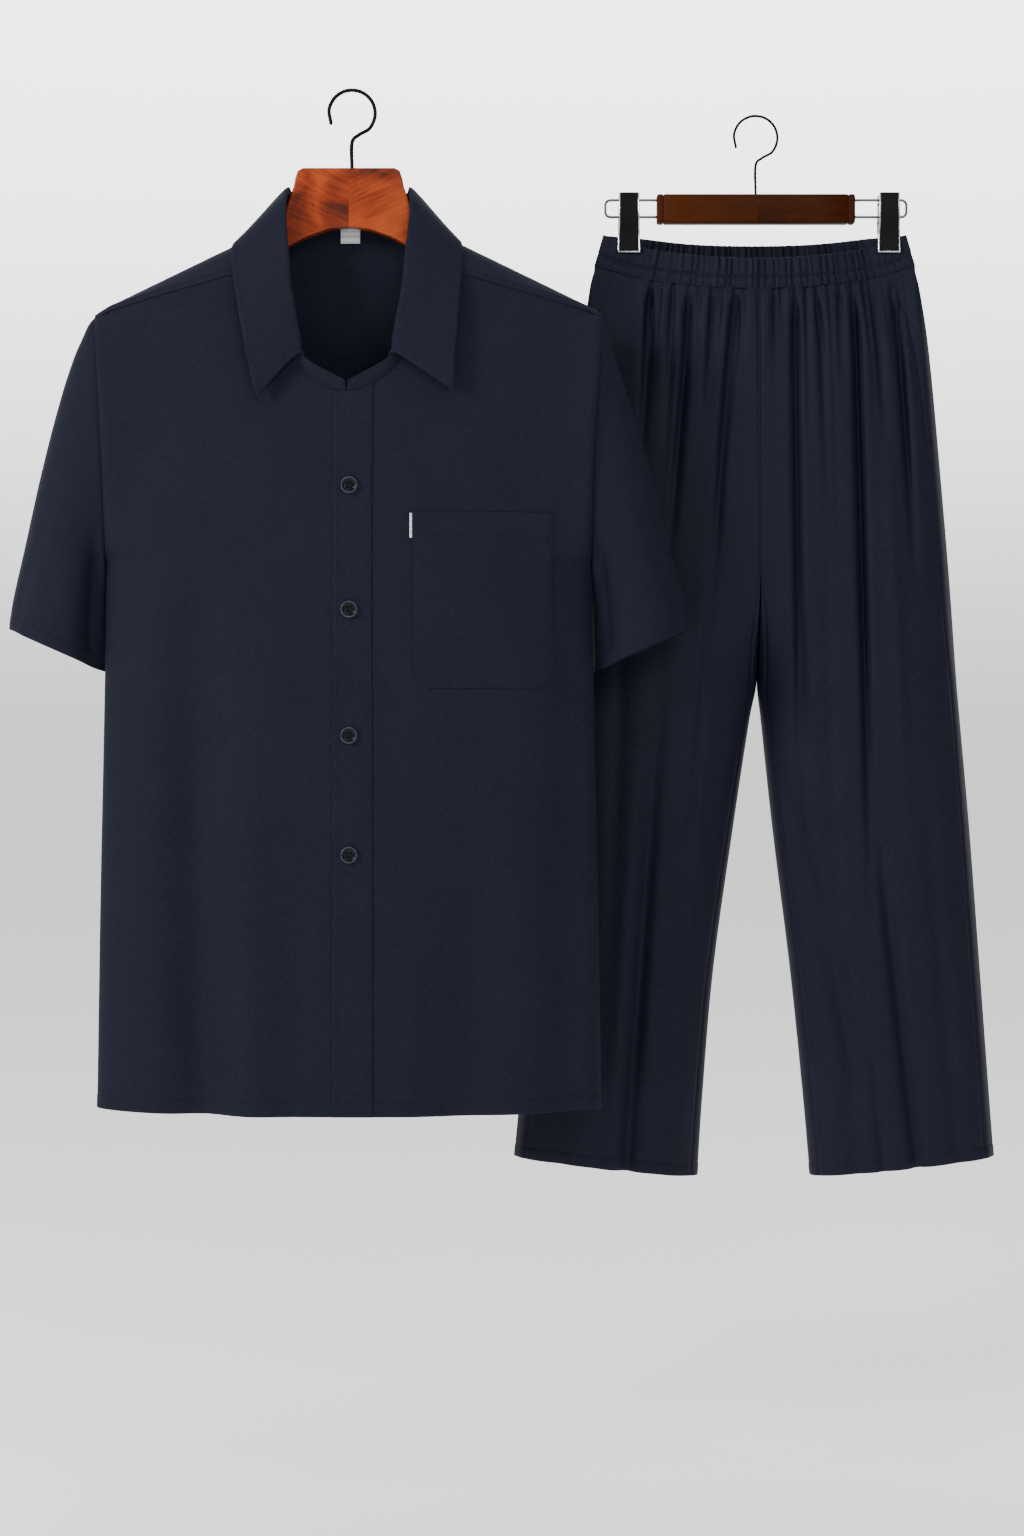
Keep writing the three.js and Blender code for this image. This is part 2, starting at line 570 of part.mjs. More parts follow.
const leafSteps = evenly(18, 0, LEAF_END);
const standColumns = collarColumns([...leafSteps, (1 + LEAF_END) / 2, 1]);
const leafRows = uniformRows([0, 0.1, 0.25, 0.5, 0.75, 1], collarColumns(leafSteps));
add("collar_stand", sheet(standPoint, uniformRows([0, 1], standColumns)), SHIRT_CLOTH);
add("collar_leaf", sheet(leafPoint, leafRows, { wall: LEAF_WALL }), SHIRT_CLOTH);

// A piece that lies on the shirt's front, from its limits across and its height at each u.
function onFront({ left, right }, bottomAt, topAt, columns, levels, shift = LAYER) {
  const surface = (u, v) => {
    const across = (left + (right - left) * u) / SHOULDER_HALF;
    const bottom = bottomAt(across, u);
    return frontPoint(across, bottom + (topAt(across) - bottom) * v);
  };
  return sheet(surface, uniformRows(levels, columns), { shift });
}
add("placket", onFront(PLACKET, hemZ, frontTopZ, evenly(3), FRONT_LEVELS), SHIRT_CLOTH);

// The pocket's lower corners are round, so its bottom edge rises there.
function pocketBottom(across, u) {
  const fromSide = Math.min(u, 1 - u) * (POCKET.right - POCKET.left);
  const c = POCKET.corner;
  const rise = fromSide < c ? c - Math.sqrt(c * c - (c - fromSide) ** 2) : 0;
  return POCKET.bottom + rise;
}

const pocketWidth = POCKET.right - POCKET.left;
const cornerColumns = [0, 0.07, 0.29, 0.62, 1].map((t) => (t * POCKET.corner) / pocketWidth);
const panelColumns = HALF_ANGLES.map((a) => (Math.sin(a) * SHOULDER_HALF - POCKET.left) / pocketWidth);
const pocketColumns = [
  ...cornerColumns,
  ...panelColumns.filter((u) => u > cornerColumns.at(-1) && u < 1 - cornerColumns.at(-1)),
  ...cornerColumns.map((c) => 1 - c).reverse(),
];
const pocketTop = () => POCKET.top;
const pocket = onFront(POCKET, pocketBottom, pocketTop, pocketColumns, evenly(5), LAYER + SEAM);
const tab = onFront(TAB, () => TAB.bottom, () => TAB.top, evenly(1), evenly(1));
add("pocket", pocket, SHIRT_CLOTH);
add("pocket_tab", tab, finish(COLOUR.label, 0.8));

function solidFrom(geometry) {
  const bare = geometry.clone();
  bare.deleteAttribute("normal");
  bare.deleteAttribute("uv");
  const merged = mergeVertices(bare, 1e-4);
  return new wasm.Manifold(
    new wasm.Mesh({
      numProp: 3,
      vertProperties: merged.attributes.position.array,
      triVerts: new Uint32Array(merged.index.array),
    }),
  );
}

function geometryFrom(solid) {
  const mesh = solid.getMesh();
  const geometry = new THREE.BufferGeometry();
  geometry.setAttribute("position", new THREE.BufferAttribute(mesh.vertProperties, 3));
  geometry.setIndex(new THREE.BufferAttribute(mesh.triVerts, 1));
  geometry.computeVertexNormals();
  return geometry;
}

// A four-hole button with a raised rim, facing -Y.
function buttonGeometry() {
  const { radius, thick, hole } = BUTTON;
  const sunk = thick * 0.62;
  const profile = [
    [0, 0],
    [radius * 0.93, 0],
    [radius, thick * 0.35],
    [radius * 0.95, thick],
    [radius * 0.74, thick],
    [radius * 0.62, sunk],
    [0, sunk],
  ].map(([r, y]) => new THREE.Vector2(r, y));
  let button = solidFrom(new THREE.LatheGeometry(profile, 24));
  for (const quarter of [1, 3, 5, 7]) {
    const turn = (quarter * Math.PI) / 4;
    const bore = new THREE.CylinderGeometry(hole, hole, thick * 3, 8);
    bore.translate(radius * 0.33 * Math.cos(turn), 0, radius * 0.33 * Math.sin(turn));
    button = button.subtract(solidFrom(bore));
  }
  return geometryFrom(button).rotateX(Math.PI);
}

BUTTON.z.forEach((z, i) => {
  const face = frontPoint(BUTTON.x / SHOULDER_HALF, z);
  const button = add(`button_${i + 1}`, buttonGeometry(), finish(COLOUR.button, 0.35));
  button.position.set(SHIRT_X + BUTTON.x, face.y - CLOTH / 2 - LAYER - SEAM, z);
});

// The neck label hangs on the inside of the stand at the middle of the back.
function labelGeometry() {
  const stand = standPoint(0.5, 0.25);
  const box = new THREE.BoxGeometry(LABEL.width, LABEL.wall, LABEL.height);
  box.translate(stand.x, stand.y - CLOTH / 2 - LABEL.clear - LABEL.wall / 2, LABEL.z);
  return box;
}
add("neck_label", labelGeometry(), finish(COLOUR.label, 0.8));

// A board cut to an outline in X and Z, with rounded edges, middle at y.
function board(outline, thick, bevel, x, y) {
  const shape = new THREE.Shape(outline.map((p) => new THREE.Vector2(p.x, p.z)));
  const geometry = new THREE.ExtrudeGeometry(shape, {
    depth: thick - 2 * bevel,
    bevelEnabled: true,
    bevelSize: bevel,
    bevelOffset: -bevel,
    bevelThickness: bevel,
    bevelSegments: 2,
  });
  geometry.translate(0, 0, bevel - thick / 2);
  geometry.rotateX(Math.PI / 2);
  geometry.translate(x, y, 0);
  return geometry;
}

const hangerHalf = [...HANGER_TOP, ...HANGER_UNDER];
const hangerOther = hangerHalf.slice(1, -1).map(({ x, z }) => ({ x: -x, z })).reverse();
const hangerOutline = [...hangerHalf, ...hangerOther];
const hangerWood = board(hangerOutline, HANGER_THICK, HANGER_BEVEL, HANGER_X, 0);
add("hanger_wood", hangerWood, finish(COLOUR.wood, 0.25));

// A round wire along a smooth path.
function wire(points, diameter, steps, sides = 8) {
  const ring = evenly(sides).slice(0, -1).map((t) => {
    const a = 2 * Math.PI * t;
    return new THREE.Vector2((Math.cos(a) * diameter) / 2, (Math.sin(a) * diameter) / 2);
  });
  return new THREE.ExtrudeGeometry(new THREE.Shape(ring), {
    steps,
    extrudePath: new THREE.CatmullRomCurve3(points, false, "centripetal"),
  });
}

// A hanger hook: its inside top is at height 0 and its stem ends at footZ.
function hook(x, y, footZ, diameter) {
  const r = HOOK_RADIUS + diameter / 2;
  const neck = -HOOK_RADIUS - r;
  const points = [
    new THREE.Vector3(x, y, footZ),
    new THREE.Vector3(x, y, neck - 6),
    new THREE.Vector3(x + r * 0.3, y, neck + 1.5),
  ];
  for (let degrees = -40; degrees <= 205; degrees += 35) {
    const a = (degrees * Math.PI) / 180;
    points.push(new THREE.Vector3(x + r * Math.cos(a), y, r * Math.sin(a) - HOOK_RADIUS));
  }
  return wire(points, diameter, 36);
}
const STEEL = finish(COLOUR.steel, 0.25, 1);
const BLACK = finish(COLOUR.blackSteel, 0.4, 0.6);
add("hanger_hook", hook(0, 0, HANGER_TOP[0].z + SEAM, HOOK_WIRE), BLACK);

// Trousers. Half the width of the waistband at height v (0 bottom, 1 top).
function bandHalf(v) {
  return BAND.bottomHalf + (BAND.topHalf - BAND.bottomHalf) * v;
}

function bandTopZ(face, across) {
  const dip = face < 0 ? BAND_DIP.front : BAND_DIP.back;
  return BAND.sideTop - dip * (1 - Math.abs(across) ** 2.2);
}

function waistDepth(face, across) {
  return lookUp(WAIST_ROWS, "across", Math.abs(across), face < 0 ? "front" : "back");
}

function bandPoint(face, across, v) {
  const z = bandTopZ(face, across) - BAND.height * (1 - v);
  const place = Math.abs(across);
  const pressed = 1 - 0.6 * ease(0.68, 0.75, place); // under the clips
  const wave = pressed * (1 - ease(0.96, 0.99, place)) * Math.cos(Math.PI * BAND.gathers * across);
  const depth = waistDepth(face, across) + GATHER * wave;
  return new THREE.Vector3(BAND_X + across * bandHalf(v), TROUSER_Y + face * depth, z);
}

for (const face of [-1, 1]) {
  const surface = (u, v) => bandPoint(face, 2 * u - 1, v);
  const name = face < 0 ? "waistband_front" : "waistband_back";
  const rows = uniformRows([0, 1], evenly(BAND.gathers * 2));
  add(name, sheet(surface, rows), TROUSER_CLOTH);
}

// One trouser panel: side -1 is on the viewer's left, across is 0 at the middle seam or the
// inside leg seam and 1 at the side seam, v is 0 at the hem and 1 below the band.
function trouserPoint(side, face, across, v) {
  const bandX = BAND.bottomHalf + side * (BAND_X - TROUSER_X);
  const bandAcross = clamp((side * (TROUSER_X - BAND_X) + across * bandX) / BAND.bottomHalf, -1, 1);
  const topZ = bandTopZ(face, bandAcross) - BAND.height - 0.8;
  const hem = TROUSER_HEM.inside + (TROUSER_HEM.side - TROUSER_HEM.inside) * across;
  const z = hem + (topZ - hem) * v;
  const at = (column) => lookUp(TROUSER_ROWS, "z", z, column);
  const fork = face < 0 ? FORK_FRONT_Z : FORK_BACK_Z;
  const closed = ease(fork, FORK_END_Z, z);
  const clear = SEAM / 2 + (CLOTH / 2) * clamp(closed * 8);
  const inX = Math.max(at(side < 0 ? "rIn" : "lIn"), clear);
  const legX = at(side < 0 ? "rOut" : "lOut");
  const outX = legX + (bandX - legX) * ease(-162, -146, z);
  const x = side * (inX + (outX - inX) * across);
  const full = at(face < 0 ? "front" : "back");
  const round = Math.sqrt(Math.max(0, 1 - Math.abs(2 * across - 1) ** FLATNESS));
  const sideSeam = SEAM / 2 + 0.95 * ease(-260, -170, z);
  const block = sideSeam + full * Math.sqrt(Math.max(0, 1 - across ** FLATNESS));
  const seamShift = face * INSEAM_Y * (1 - across);
  const leg = SEAM / 2 + seamShift + (full - seamShift) * round;
  const open = block + (leg - block) * closed;
  const top = ease(-235, -160, z);
  const depth = open + (waistDepth(face, bandAcross) - open) * top;
  const middle = ease(0, 0.1, across) * ease(0, 0.1, 1 - across);
  const pressed = 1 - 0.8 * ease(0.66, 0.74, Math.abs(bandAcross)) * ease(-230, -170, z);
  const held = pressed * middle * ease(GATHER_END_Z, topZ, z);
  const wave = held * Math.cos(2 * Math.PI * PANEL_GATHERS * across);
  const fold = foldDepth(TROUSER_FOLDS, face, x, z) * middle;
  const y = TROUSER_Y + face * (depth + PANEL_GATHER * wave - fold);
  return new THREE.Vector3(TROUSER_X + x, y, z);
}

// Columns are close at the gathers below the band and fewer further down the leg.
function trouserRows() {
  const gathered = evenly(PANEL_GATHERS * 2);
  const leg = evenly(16).map((t) => (1 - Math.cos(Math.PI * t)) / 2);
  const levels = [0, 0.1, 0.2, 0.3, 0.4, 0.5, 0.555, 0.6, 0.66, 0.74, 0.82, 0.88];
  return [
    ...levels.map((v) => ({ v, us: leg })),
    { v: 0.94, us: gathered },
    { v: 1, us: gathered },
  ];
}

for (const side of [-1, 1]) {
  for (const face of [-1, 1]) {
    const surface = (u, v) => trouserPoint(side, face, u, v);
    const name = `trouser_${face < 0 ? "front" : "back"}_${side < 0 ? "right" : "left"}`;
    add(name, sheet(surface, trouserRows()), TROUSER_CLOTH);
  }
}

// Clip hanger: a bar, a wire loop out of each end, and a clip on each loop.
const barX = (CLIP_BAR.left + CLIP_BAR.right) / 2;
const barHalf = (CLIP_BAR.right - CLIP_BAR.left) / 2;
const barOutline = [
  { x: -barHalf, z: CLIP_BAR.bottom },
  { x: barHalf, z: CLIP_BAR.bottom },
  { x: barHalf, z: CLIP_BAR.top },
  { x: -barHalf, z: CLIP_BAR.top },
];
const bar = board(barOutline, CLIP_BAR.thick, CLIP_BAR.bevel, barX, TROUSER_Y);
add("clip_bar", bar, finish(COLOUR.darkWood, 0.3));
add("clip_hook", hook(barX, TROUSER_Y, CLIP_BAR.top + SEAM, CLIP_HOOK_WIRE), BLACK);

function clipWire(side) {
  const { highZ, lowZ, radius } = CLIP_WIRE;
  const end = side < 0 ? CLIP_WIRE.leftX : CLIP_WIRE.rightX;
  const start = (side < 0 ? CLIP_BAR.left : CLIP_BAR.right) + side * SEAM;
  const bend = 5;
  const path = [
    [start, highZ],
    [end - side * bend * 2, highZ],
    [end - side * bend, highZ],
    [end - side * bend * 0.3, highZ - bend * 0.3],
    [end, highZ - bend],
    [end, lowZ + bend],
    [end - side * bend * 0.3, lowZ + bend * 0.3],
    [end - side * bend, lowZ],
    [end - side * bend * 2, lowZ],
    [start, lowZ],
  ].map(([x, z]) => new THREE.Vector3(x, TROUSER_Y, z));
  return wire(path, 2 * radius, 30);
}

// A clip's side view is a bent jaw each way from the wires to the band it grips.
function clipJaw(x, face) {
  const wireY = CLIP_WIRE.radius + SEAM;
  const outer = CLIP.bulge;
  const jaw = CLIP.jaw;
  const grip = CLIP.grip;
  const profile = [
    [wireY, CLIP.top],
    [outer, CLIP.top],
    [outer, CLIP.lipZ + 6],
    [grip + jaw, CLIP.lipZ],
    [grip + jaw, CLIP.bottom],
    [grip, CLIP.bottom],
    [grip, CLIP.lipZ - 3],
    [wireY, CLIP.lipZ + 3],
  ].map(([y, z]) => new THREE.Vector2(face * y, z));
  const shape = new THREE.Shape(profile);
  const geometry = new THREE.ExtrudeGeometry(shape, { depth: CLIP.width, bevelEnabled: false });
  geometry.rotateY(Math.PI / 2);
  geometry.rotateX(Math.PI / 2);
  geometry.translate(x - CLIP.width / 2, TROUSER_Y, 0);
  return geometry;
}

[-1, 1].forEach((side, i) => {
  const place = side < 0 ? "left" : "right";
  add(`clip_wire_${place}`, clipWire(side), STEEL);
  add(`clip_jaw_front_${place}`, clipJaw(CLIP.x[i], -1), BLACK);
  add(`clip_jaw_back_${place}`, clipJaw(CLIP.x[i], 1), BLACK);
});

export default group;
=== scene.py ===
"""A navy shirt on a wooden hanger, with its trousers behind it on a clip hanger.

The garments' forms are worked out in millimetres in the part's own frame (+Z up, the fronts face
-Y, +X is the viewer's right), and each mesh is turned to metres as it is made.
"""

from __future__ import annotations

import logging
import math
from collections.abc import Callable, Sequence
from dataclasses import dataclass, field
from enum import Enum

import bpy
import numpy as np
from bpy.types import Material, Mesh, Node, NodeSocket, NodeTree, Object
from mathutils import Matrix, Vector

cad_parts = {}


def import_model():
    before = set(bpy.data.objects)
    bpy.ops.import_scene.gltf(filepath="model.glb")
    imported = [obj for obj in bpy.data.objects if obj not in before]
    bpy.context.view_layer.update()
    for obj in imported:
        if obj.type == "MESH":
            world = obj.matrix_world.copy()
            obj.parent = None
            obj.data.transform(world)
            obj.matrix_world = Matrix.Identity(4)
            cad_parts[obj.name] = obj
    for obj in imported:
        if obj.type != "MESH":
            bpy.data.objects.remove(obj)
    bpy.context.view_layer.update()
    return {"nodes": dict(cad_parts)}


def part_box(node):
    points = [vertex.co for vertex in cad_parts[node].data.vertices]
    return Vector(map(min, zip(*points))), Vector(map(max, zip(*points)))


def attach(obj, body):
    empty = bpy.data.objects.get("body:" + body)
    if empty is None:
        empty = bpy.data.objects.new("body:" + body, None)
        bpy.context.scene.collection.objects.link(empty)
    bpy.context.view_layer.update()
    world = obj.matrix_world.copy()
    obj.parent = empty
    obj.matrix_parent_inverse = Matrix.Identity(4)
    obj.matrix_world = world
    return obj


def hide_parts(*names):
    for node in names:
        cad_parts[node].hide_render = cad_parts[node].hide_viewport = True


LOG = logging.getLogger("scene")
Array = np.ndarray
Surface = Callable[[Array, Array], Array]
MM = 0.001
BODY = "root"
BESIDE_SEAM = (-1.3, -0.4, 0.5, 1.4, 3.0)  # grid lines at a seam, in mm from its stitches


class Face(Enum):
    """The two faces of a hanging garment, by the way they look along Y."""

    FRONT = -1
    BACK = 1


class Side(Enum):
    """The wearer's sides, by where they lie along X."""

    RIGHT = -1
    LEFT = 1


class Edge(Enum):
    """The four edges of a cut piece of cloth, as its grid runs."""

    LEFT = "left"
    RIGHT = "right"
    BOTTOM = "bottom"
    TOP = "top"


class Reach(Enum):
    """How a long fold runs: it falls from its top, opens towards a hem, or fades at both ends."""

    FALLS = "falls"
    OPENS = "opens"
    FADES = "fades"


class Hold(Enum):
    """How a sheet of cloth is held."""

    HUNG = "hung"
    FOLDED = "folded"
    GATHERED = "gathered"


class Slot(Enum):
    """The part's material slots that the scene's own pieces carry."""

    SHIRT_CLOTH = "shirt_cloth"
    TROUSER_CLOTH = "trouser_cloth"
    LABEL_TAPE = "label_tape"
    BUTTON_RESIN = "button_resin"
    BLACK_STEEL = "black_steel"
    DARK_WOOD = "dark_wood"
    BRIGHT_STEEL = "bright_steel"


# Numbers


def ease(start: float, end: float, value: Array) -> Array:
    """Goes smoothly from 0 at start to 1 at end.

    Args:
        start: Value at which the result leaves 0.
        end: Value at which the result reaches 1.
        value: Where to read it.

    Returns:
        The eased share, from 0 to 1.
    """
    t = np.clip((np.asarray(value, float) - start) / (end - start), 0.0, 1.0)
    return t * t * (3.0 - 2.0 * t)


def bump(distance: Array, width: float) -> Array:
    """A soft bell, 1 where distance is 0."""
    return np.exp(-((distance / width) ** 2))


class Table:
    """A short table whose columns are read as smooth curves of its first column."""

    def __init__(self, columns: str, rows: Sequence[Sequence[float]]) -> None:
        """Keeps the rows under their columns' names.

        Args:
            columns: Column names with spaces between them; the first is the key.
            rows: The rows, with rising keys.
        """
        values = np.array(rows, float)
        self.keys = values[:, 0]
        self.columns = dict(zip(columns.split(), values.T))

    def __call__(self, column: str, at: Array) -> Array:
        """Reads one column.

        Args:
            column: The column's name.
            at: The key's values to read it at.

        Returns:
            The column's values there.
        """
        keys, values = self.keys, self.columns[column]
        at = np.asarray(at, float)
        last = len(keys) - 2
        i = np.clip(np.searchsorted(keys, at, side="left") - 1, 0, last)
        before, after = np.maximum(i - 1, 0), np.minimum(i + 2, last + 1)
        span = keys[i + 1] - keys[i]
        t = np.clip((at - keys[i]) / span, 0.0, 1.0)
        slope_a = (values[i + 1] - values[before]) / (keys[i + 1] - keys[before]) * span
        slope_b = (values[after] - values[i]) / (keys[after] - keys[i]) * span
        t2, t3 = t * t, t**3
        return (
            values[i] * (2 * t3 - 3 * t2 + 1)
            + slope_a * (t3 - 2 * t2 + t)
            + values[i + 1] * (3 * t2 - 2 * t3)
            + slope_b * (t3 - t2)
        )


@dataclass(frozen=True)
class Fold:
    """A long soft trough down one face of a garment, or a ridge where deep is negative."""

    face: Face
    top_z: float
    top_x: float
    end_z: float
    end_x: float
    width: float
    deep: float
    reach: Reach = Reach.FADES

    def depth(self, face: Face, x: Array, z: Array) -> Array:
        """How far the fold draws the cloth in.

        Args:
            face: The face that is being made.
            x: Places across it.
            z: Heights on it.

        Returns:
            Depth in millimetres.
        """
        if face is not self.face:
            return np.zeros(np.broadcast(x, z).shape)
        down = (self.top_z - z) / (self.top_z - self.end_z)
        across = (x - (self.top_x + (self.end_x - self.top_x) * down)) / self.width
        if self.reach is Reach.OPENS:
            length = ease(0.0, 0.6, down)
        elif self.reach is Reach.FALLS:
            length = ease(0.0, 0.06, down) * (1 - ease(0.35, 1.0, down))
        else:
            length = np.sin(np.pi * np.clip(down, 0.0, 1.0))
        return self.deep * length * np.exp(-across * across)


def fold_depth(folds: Sequence[Fold], face: Face, x: Array, z: Array) -> Array:
    """Adds up all folds of one face.

    Args:
        folds: The garment's folds.
        face: The face that is being made.
        x: Places across it.
        z: Heights on it.

    Returns:
        Depth in millimetres.
    """
    return sum(fold.depth(face, x, z) for fold in folds)


def vector(x: Array, y: Array, z: Array) -> Array:
    """Stacks coordinates, broadcast to one shape, along a last axis."""
    return np.stack(np.broadcast_arrays(x, y, z), axis=-1).astype(float)


def unit(vectors: Array) -> Array:
    """Vectors scaled to length 1."""
    length = np.linalg.norm(vectors, axis=-1, keepdims=True)
    return vectors / np.maximum(length, 1e-9)


# Meshes


def mesh_object(
    name: str, points: Array, faces: Sequence, uvs: Array | None = None
) -> Object:
    """Makes a smooth-shaded object from millimetre points.

    Args:
        name: The object's name.
        points: Its points, in millimetres.
        faces: Its faces, as rows of point numbers.
        uvs: Face corners' cloth coordinates in metres, in the order of the faces.

    Returns:
        The new object, linked to the scene.
    """
    mesh = bpy.data.meshes.new(name)
    mesh.from_pydata((np.asarray(points) * MM).tolist(), [], [list(map(int, f)) for f in faces])
    if uvs is not None:
        layer = mesh.uv_layers.new(name="cloth")
        layer.data.foreach_set("uv", np.asarray(uvs, np.float32).ravel())
    mesh.shade_smooth()
    mesh.update()
    made = bpy.data.objects.new(name, mesh)
    bpy.context.scene.collection.objects.link(made)
    return made


@dataclass
class Piece:
    """What every piece of the model has: its object, its finish and the nodes it stands for."""

    made: Object
    finish: Material
    slot: Slot
    nodes: tuple[str, ...] = ()

    def settle(self) -> Object:
        """Dresses the object and fixes it to the frame's body.

        Returns:
            The object.
        """
        self.made.data.materials.clear()
        self.made.data.materials.append(self.finish)
        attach(self.made, BODY)
        if self.nodes:
            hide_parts(*self.nodes)
        LOG.info("%s: %d faces", self.made.name, len(self.made.data.polygons))
        return self.made


@dataclass(frozen=True)
class Seamline:
    """A line of sewing along an edge: the cloth outside it is doubled and stands proud."""

    edge: Edge
    inset: float
    proud: float = 0.45
    stitched: bool = True
    groove: float = 0.3


@dataclass(frozen=True)
class Run:
    """A line for stitches: points on the cloth and the way out of it at each."""

    points: Array
    normals: Array


@dataclass
class Panel:
    """One cut piece of cloth on a surface, as a thin closed wall with its seams sewn in.

    The surface takes two parameters. The first runs over columns; the second from low to high,
    each a number or a function of the first parameter. Shift moves the cloth outwards, and relief
    adds a height of its own at each point.
    """

    name: str
    surface: Surface
    span: tuple[float, float]
    columns: int
    rows: int
    low: Callable[[Array], Array] | float
    high: Callable[[Array], Array] | float
    seams: tuple[Seamline, ...] = ()
    wall: float = 0.9
    thin_edge: float = 0.7  # over this width the wall thins to about a third at an open edge
    shift: float = 0.0
    closed: bool = False
    middle_y: float = 0.0
    relief: Callable[[Array, Array, dict[Edge, Array]], Array] | None = None
    samples: int = 500
    runs: list[Run] = field(default_factory=list)
    width: float = 0.0
    length: float = 0.0
    area: float = 0.0

    def _near(self, edges: tuple[Edge, Edge]) -> tuple[list[float], list[float]]:
        """Offsets from the two edges at which the grid needs lines of its own.

        Args:
            edges: The edge where the grid starts and the one where it ends.

        Returns:
            The offsets from each, in order.
        """
        out = []
        for edge in edges:
            near = {0.0, self.thin_edge}
            for seam in self.seams:
                if seam.edge is edge:
                    near |= {seam.inset + d for d in BESIDE_SEAM}
            out.append(sorted(near))
        return out[0], out[1]

    @staticmethod
    def _marks(near: tuple[list[float], list[float]], count: int) -> Array:
        """Grid lines as pairs of a share of the length and an offset in millimetres.

        Args:
            near: Offsets from the two edges.
            count: Even spaces between the edges.

        Returns:
            One row for each grid line.
        """
        start, end = near
        marks = [(0.0, d) for d in start]
        for i in range(1, count):
            t = i / count
            marks.append((t, start[-1] * (1 - t) - end[-1] * t))
        marks += [(1.0, -d) for d in reversed(end)]
        return np.array(marks)

    @staticmethod
    def _limit(edge: Callable[[Array], Array] | float, first: Array) -> Array:
        """The second parameter on an edge, at each value of the first."""
        return edge(first) if callable(edge) else np.full_like(first, edge)

    def _first(self) -> Array:
        """Values of the first parameter, evenly spaced on the cloth and close at the seams.

        Returns:
            The values, from the left edge to the right one.
        """
        if self.closed:
            return np.linspace(*self.span, self.columns + 1)
        dense = np.linspace(*self.span, self.samples)
        middle = (self._limit(self.low, dense) + self._limit(self.high, dense)) / 2
        points = self.surface(dense, middle)
        run = np.concatenate([[0], np.cumsum(np.linalg.norm(np.diff(points, axis=0), axis=1))])
        marks = self._marks(self._near((Edge.LEFT, Edge.RIGHT)), self.columns)
        return np.interp(marks[:, 0] * run[-1] + marks[:, 1], run, dense)

    def grid(self) -> tuple[Array, Array]:
        """Both parameters at every grid point, spaced by length along the cloth.

        Returns:
            The first parameter and the second, as two grids.
        """
        first = self._first()
        share = np.linspace(0, 1, self.samples)[:, None]
        low, high = self._limit(self.low, first), self._limit(self.high, first)
        second = low + (high - low) * share
        points = self.surface(np.broadcast_to(first, second.shape), second)
        steps = np.linalg.norm(np.diff(points, axis=0), axis=2)
        run = np.vstack([np.zeros(len(first)), np.cumsum(steps, axis=0)])
        marks = self._marks(self._near((Edge.BOTTOM, Edge.TOP)), self.rows)
        out = np.empty((len(marks), len(first)))
        for i in range(len(first)):
            at = marks[:, 0] * run[-1, i] + marks[:, 1]
            out[:, i] = np.interp(at, run[:, i], second[:, i])
        return np.broadcast_to(first, out.shape), out

    def build(self) -> Object:
        """Makes the cloth's mesh and finds its stitch lines.

        Returns:
            The panel's object, before it is dressed.
        """
        a, b = self.grid()
        points = self.surface(a, b)
        across = np.linalg.norm(np.diff(points, axis=1), axis=2)
        along = np.linalg.norm(np.diff(points, axis=0), axis=2)
        u = np.hstack([np.zeros((len(a), 1)), np.cumsum(across, axis=1)])
        v = np.vstack([np.zeros((1, a.shape[1])), np.cumsum(along, axis=0)])
        edges = {
            Edge.LEFT: u,
            Edge.RIGHT: u[:, -1:] - u,
            Edge.BOTTOM: v,
            Edge.TOP: v[-1:] - v,
        }
        normals = self._normals(points)
        relief = self._sewn(edges, u, v)
        if self.relief is not None:
            relief = relief + self.relief(a, b, edges)
        open_edges = [Edge.BOTTOM, Edge.TOP] if self.closed else list(Edge)
        nearest = np.minimum.reduce([edges[edge] for edge in open_edges])
        half = self.wall / 2 * (0.35 + 0.65 * ease(0.0, self.thin_edge, nearest))
        middle = points + normals * (self.shift + relief)[..., None]
        outer = middle + normals * half[..., None]
        self._find_runs(outer, normals, edges)
        self.width, self.length = float(u[:, -1].max()), float(v[-1].max())
        cell = np.cross(np.diff(middle, axis=1)[:-1], np.diff(middle, axis=0)[:, :-1])
        self.area = float(np.linalg.norm(cell, axis=2).sum())
        return self._mesh(outer, middle - normals * half[..., None], u, v)

    def _normals(self, points: Array) -> Array:
        """The way out of the cloth at every grid point.

        Args:
            points: The grid's points.

        Returns:
            Vectors of length 1.
        """
        if self.closed:
            ring = points[:, :-1]
            du = np.roll(ring, -1, axis=1) - np.roll(ring, 1, axis=1)
            du = np.concatenate([du, du[:, :1]], axis=1)
        else:
            du = np.gradient(points, axis=1)
        normals = unit(np.cross(du, np.gradient(points, axis=0)))
        outward = np.sum(normals[..., 1] * (points[..., 1] - self.middle_y))
        return normals if outward > 0 else -normals

    def _sewn(self, edges: dict[Edge, Array], u: Array, v: Array) -> Array:
        """Height that the seams add, with the puckers that a sewn line draws up.

        Args:
            edges: Distances from the edges.
            u: Distance along the rows.
            v: Distance along the columns.

        Returns:
            Height in millimetres.
        """
        relief = np.zeros(u.shape)
        for seam in self.seams:
            distance = edges[seam.edge]
            along = u if seam.edge in (Edge.BOTTOM, Edge.TOP) else v
            relief += seam.proud * (1 - ease(seam.inset - 0.5, seam.inset + 0.9, distance))
            relief -= seam.groove * bump(distance - seam.inset, 1.1)
            pucker = np.sin(along * 0.83 + 1.7 * np.sin(along * 0.047)) + 0.6 * np.sin(along * 0.39)
            relief += 0.09 * pucker * bump(distance - seam.inset, 5.0)
        return relief

